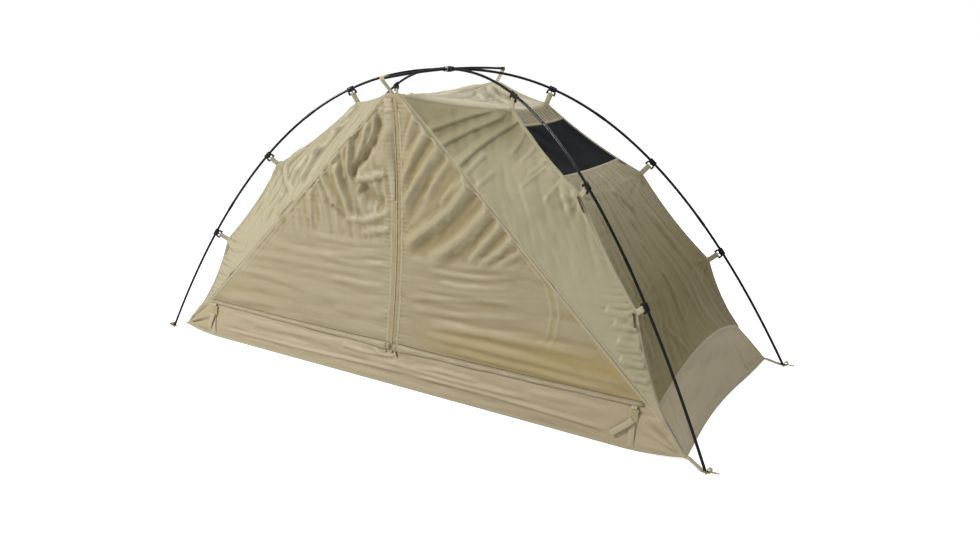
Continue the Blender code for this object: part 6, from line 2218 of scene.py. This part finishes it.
# Stations down the two halves: y, half width and half thickness, in 0.1 mm
FEMALE = [(-130, 166, 41), (-127, 170, 45), (-80, 170, 45), (-20, 163, 45), (40, 166, 45), (80, 165, 42),
          (110, 155, 30), (127, 142, 25), (130, 138, 21)]
MALE = [(-275, 140, 30), (-268, 155, 38), (-215, 162, 40), (-160, 170, 40), (-140, 170, 40), (-135, 166, 36)]
# A prong's outline, as x and y in 0.1 mm
PRONG = [(143, -145), (142, -90), (134, -65), (143, -35), (136, 25), (120, 56), (106, 46), (104, -40),
         (102, -145)]
# The webbing through the female half's slot, as y and z in 0.1 mm
LOOP_PATH = [(255, -52), (200, -8), (150, 34), (118, 40), (99, 22), (98, -10), (112, -38), (150, -40),
             (200, -46), (255, -60)]
STRAP_FOLD = -0.0789


def box(size, centre):
    """A plain box to cut with, by its three sides and its middle."""
    x, y, z = (side / 2 for side in size)
    outline = [(-x, -y), (x, -y), (x, y), (-x, y)]
    rings = [[(centre[0] + a, centre[1] + b, centre[2] + c) for a, b in outline] for c in (-z, z)]
    return loft("box", rings)


def shell(name, stations):
    """A rounded block along Y, from its stations: the square root makes a circle nearly a box."""
    angles = np.arange(36) * math.tau / 36
    x = np.sign(np.cos(angles)) * np.abs(np.cos(angles)) ** 0.5
    z = np.sign(np.sin(angles)) * np.abs(np.sin(angles)) ** 0.5
    rings = [stack(x * half, y, -z * thick) for y, half, thick in np.array(stations) / 10000]
    return loft(name, rings)


def buckle_matrix(side_x):
    """The buckle's frame on the front wall of the bathtub, and the length of that wall."""
    x = side_x * STRAP_X
    top = hem_point(x, -1)
    slope = top - np.array([x, tub_corner(1, -1)[1], CLOTH / 2])
    up = unit(np.array([0.0, slope[1], slope[2]]))
    out = np.array([0.0, -up[2], up[1]])
    origin = top - up * BUCKLE_DOWN + out * (CLOTH / 2 + BUCKLE_STAND)
    return placed(origin, (1.0, 0.0, 0.0), up, out), float(top[2] / unit(slope)[2])


for side, side_x in SIDES:
    place, wall_length = buckle_matrix(side_x)
    female = shell("female", FEMALE)
    for size, y in ((CAVITY, -0.013), (WINDOW, -0.002), (LOOP_SLOT, 0.0098)):
        carve(female, box(size, (0, y, 0)))
    ribs = []
    for x in (-0.0045, 0.0, 0.0045):
        line = [(x, y, 0.0046) for y in (-0.0105, -0.006, 0.0, 0.004)]
        ribs.append(tube("rib", line, [0.0004, 0.0006, 0.0006, 0.0004], 6))
    female = join(f"{side}_buckle_shell", [female, *ribs])
    female.data.transform(place)
    dress(female, "tent", buckle_finish, "buckle_tan", [f"{side}_buckle_female"])
    loop = [(0, y / 10000, z / 10000) for y, z in LOOP_PATH]
    strap = flat_strap(f"{side}_buckle_loop", loop, (1, 0, 0), [0.0195] * 4, 50, 0.0014)
    strap.data.transform(place)
    dress(strap, "tent", webbing_finish, "webbing_tan", [f"{side}_buckle_female"])
    male = shell("male", MALE)
    carve(male, box(STRAP_SLOT, (0, -0.021, 0)))
    prongs = []
    for way in (-1, 1):
        outline = [(way * x / 10000, y / 10000) for x, y in PRONG]
        prongs.append(plate("prong", [outline], 0.0034))
    male = join(f"{side}_buckle_plug_shell", [male, *prongs])
    male.data.transform(place)
    body = f"{side}_buckle_plug"
    dress(male, body, buckle_finish, "buckle_tan", [f"{side}_buckle_male"])
    foot = BUCKLE_DOWN - wall_length + 0.012
    rise = [(0, -0.0170, 0), (0, -0.045, 0), (0, STRAP_FOLD, 0), (0, (foot + STRAP_FOLD) / 2, -0.0033),
            (0, foot, -0.0047)]
    strap = flat_strap(f"{side}_buckle_strap_webbing", rise, (1, 0, 0), [0.0198] * 4, 40)
    strap.data.transform(place)
    dress(strap, "tent", webbing_finish, "webbing_tan", [f"{side}_buckle_strap"])
    lean = 1.0 if side_x > 0 else 0.35
    tail = [(0.0010, -0.0225, 0.0052), (-0.0150 * lean, -0.0390, 0.0070), (-0.0400 * lean, -0.0600, 0.0062),
            (-0.0660 * lean, -0.0810, 0.0046)]
    tail = ribbon(f"{side}_buckle_tail", through(tail, 46), (0.10, 0.12, 1.0), 0.0192, 0.0015)
    tail.data.transform(place)
    dress(tail, body, webbing_finish, "webbing_tan")
print("buckles made")

# %% [markdown]
# The floor under the tent is plain and white. Its own colour only bounces light. What the camera
# sees of it is lifted to the white of the page, and the tent's shadow stays.

# %% Studio floor
FLOOR_HALF = 60.0
floor_finish, floor_tree, floor_shader = new_finish("studio_floor", (0.80, 0.80, 0.80), 0.9)
floor_shader.inputs["Emission Color"].default_value = (1.0, 1.0, 1.0, 1.0)
floor_rays = floor_tree.nodes.new("ShaderNodeLightPath")
floor_glow = maths(floor_tree, "MULTIPLY", floor_rays.outputs["Is Camera Ray"], 0.82)
floor_tree.links.new(floor_glow, floor_shader.inputs["Emission Strength"])
corners = [(-FLOOR_HALF, -FLOOR_HALF, 0), (FLOOR_HALF, -FLOOR_HALF, 0),
           (FLOOR_HALF, FLOOR_HALF, 0), (-FLOOR_HALF, FLOOR_HALF, 0)]
studio_floor = mesh_object("studio_floor", corners, [(0, 1, 2, 3)])
studio_floor.location.z = float(CAD_BOX[0][2]) - 0.0004
studio_floor.data.materials.append(floor_finish)
print("studio floor at", round(studio_floor.location.z, 5))

# %% [markdown]
# Last, the frame's own box is printed.

# %% Print the frame's box
print("frame", [tuple(round(float(x), 4) for x in corner) for corner in CAD_BOX])
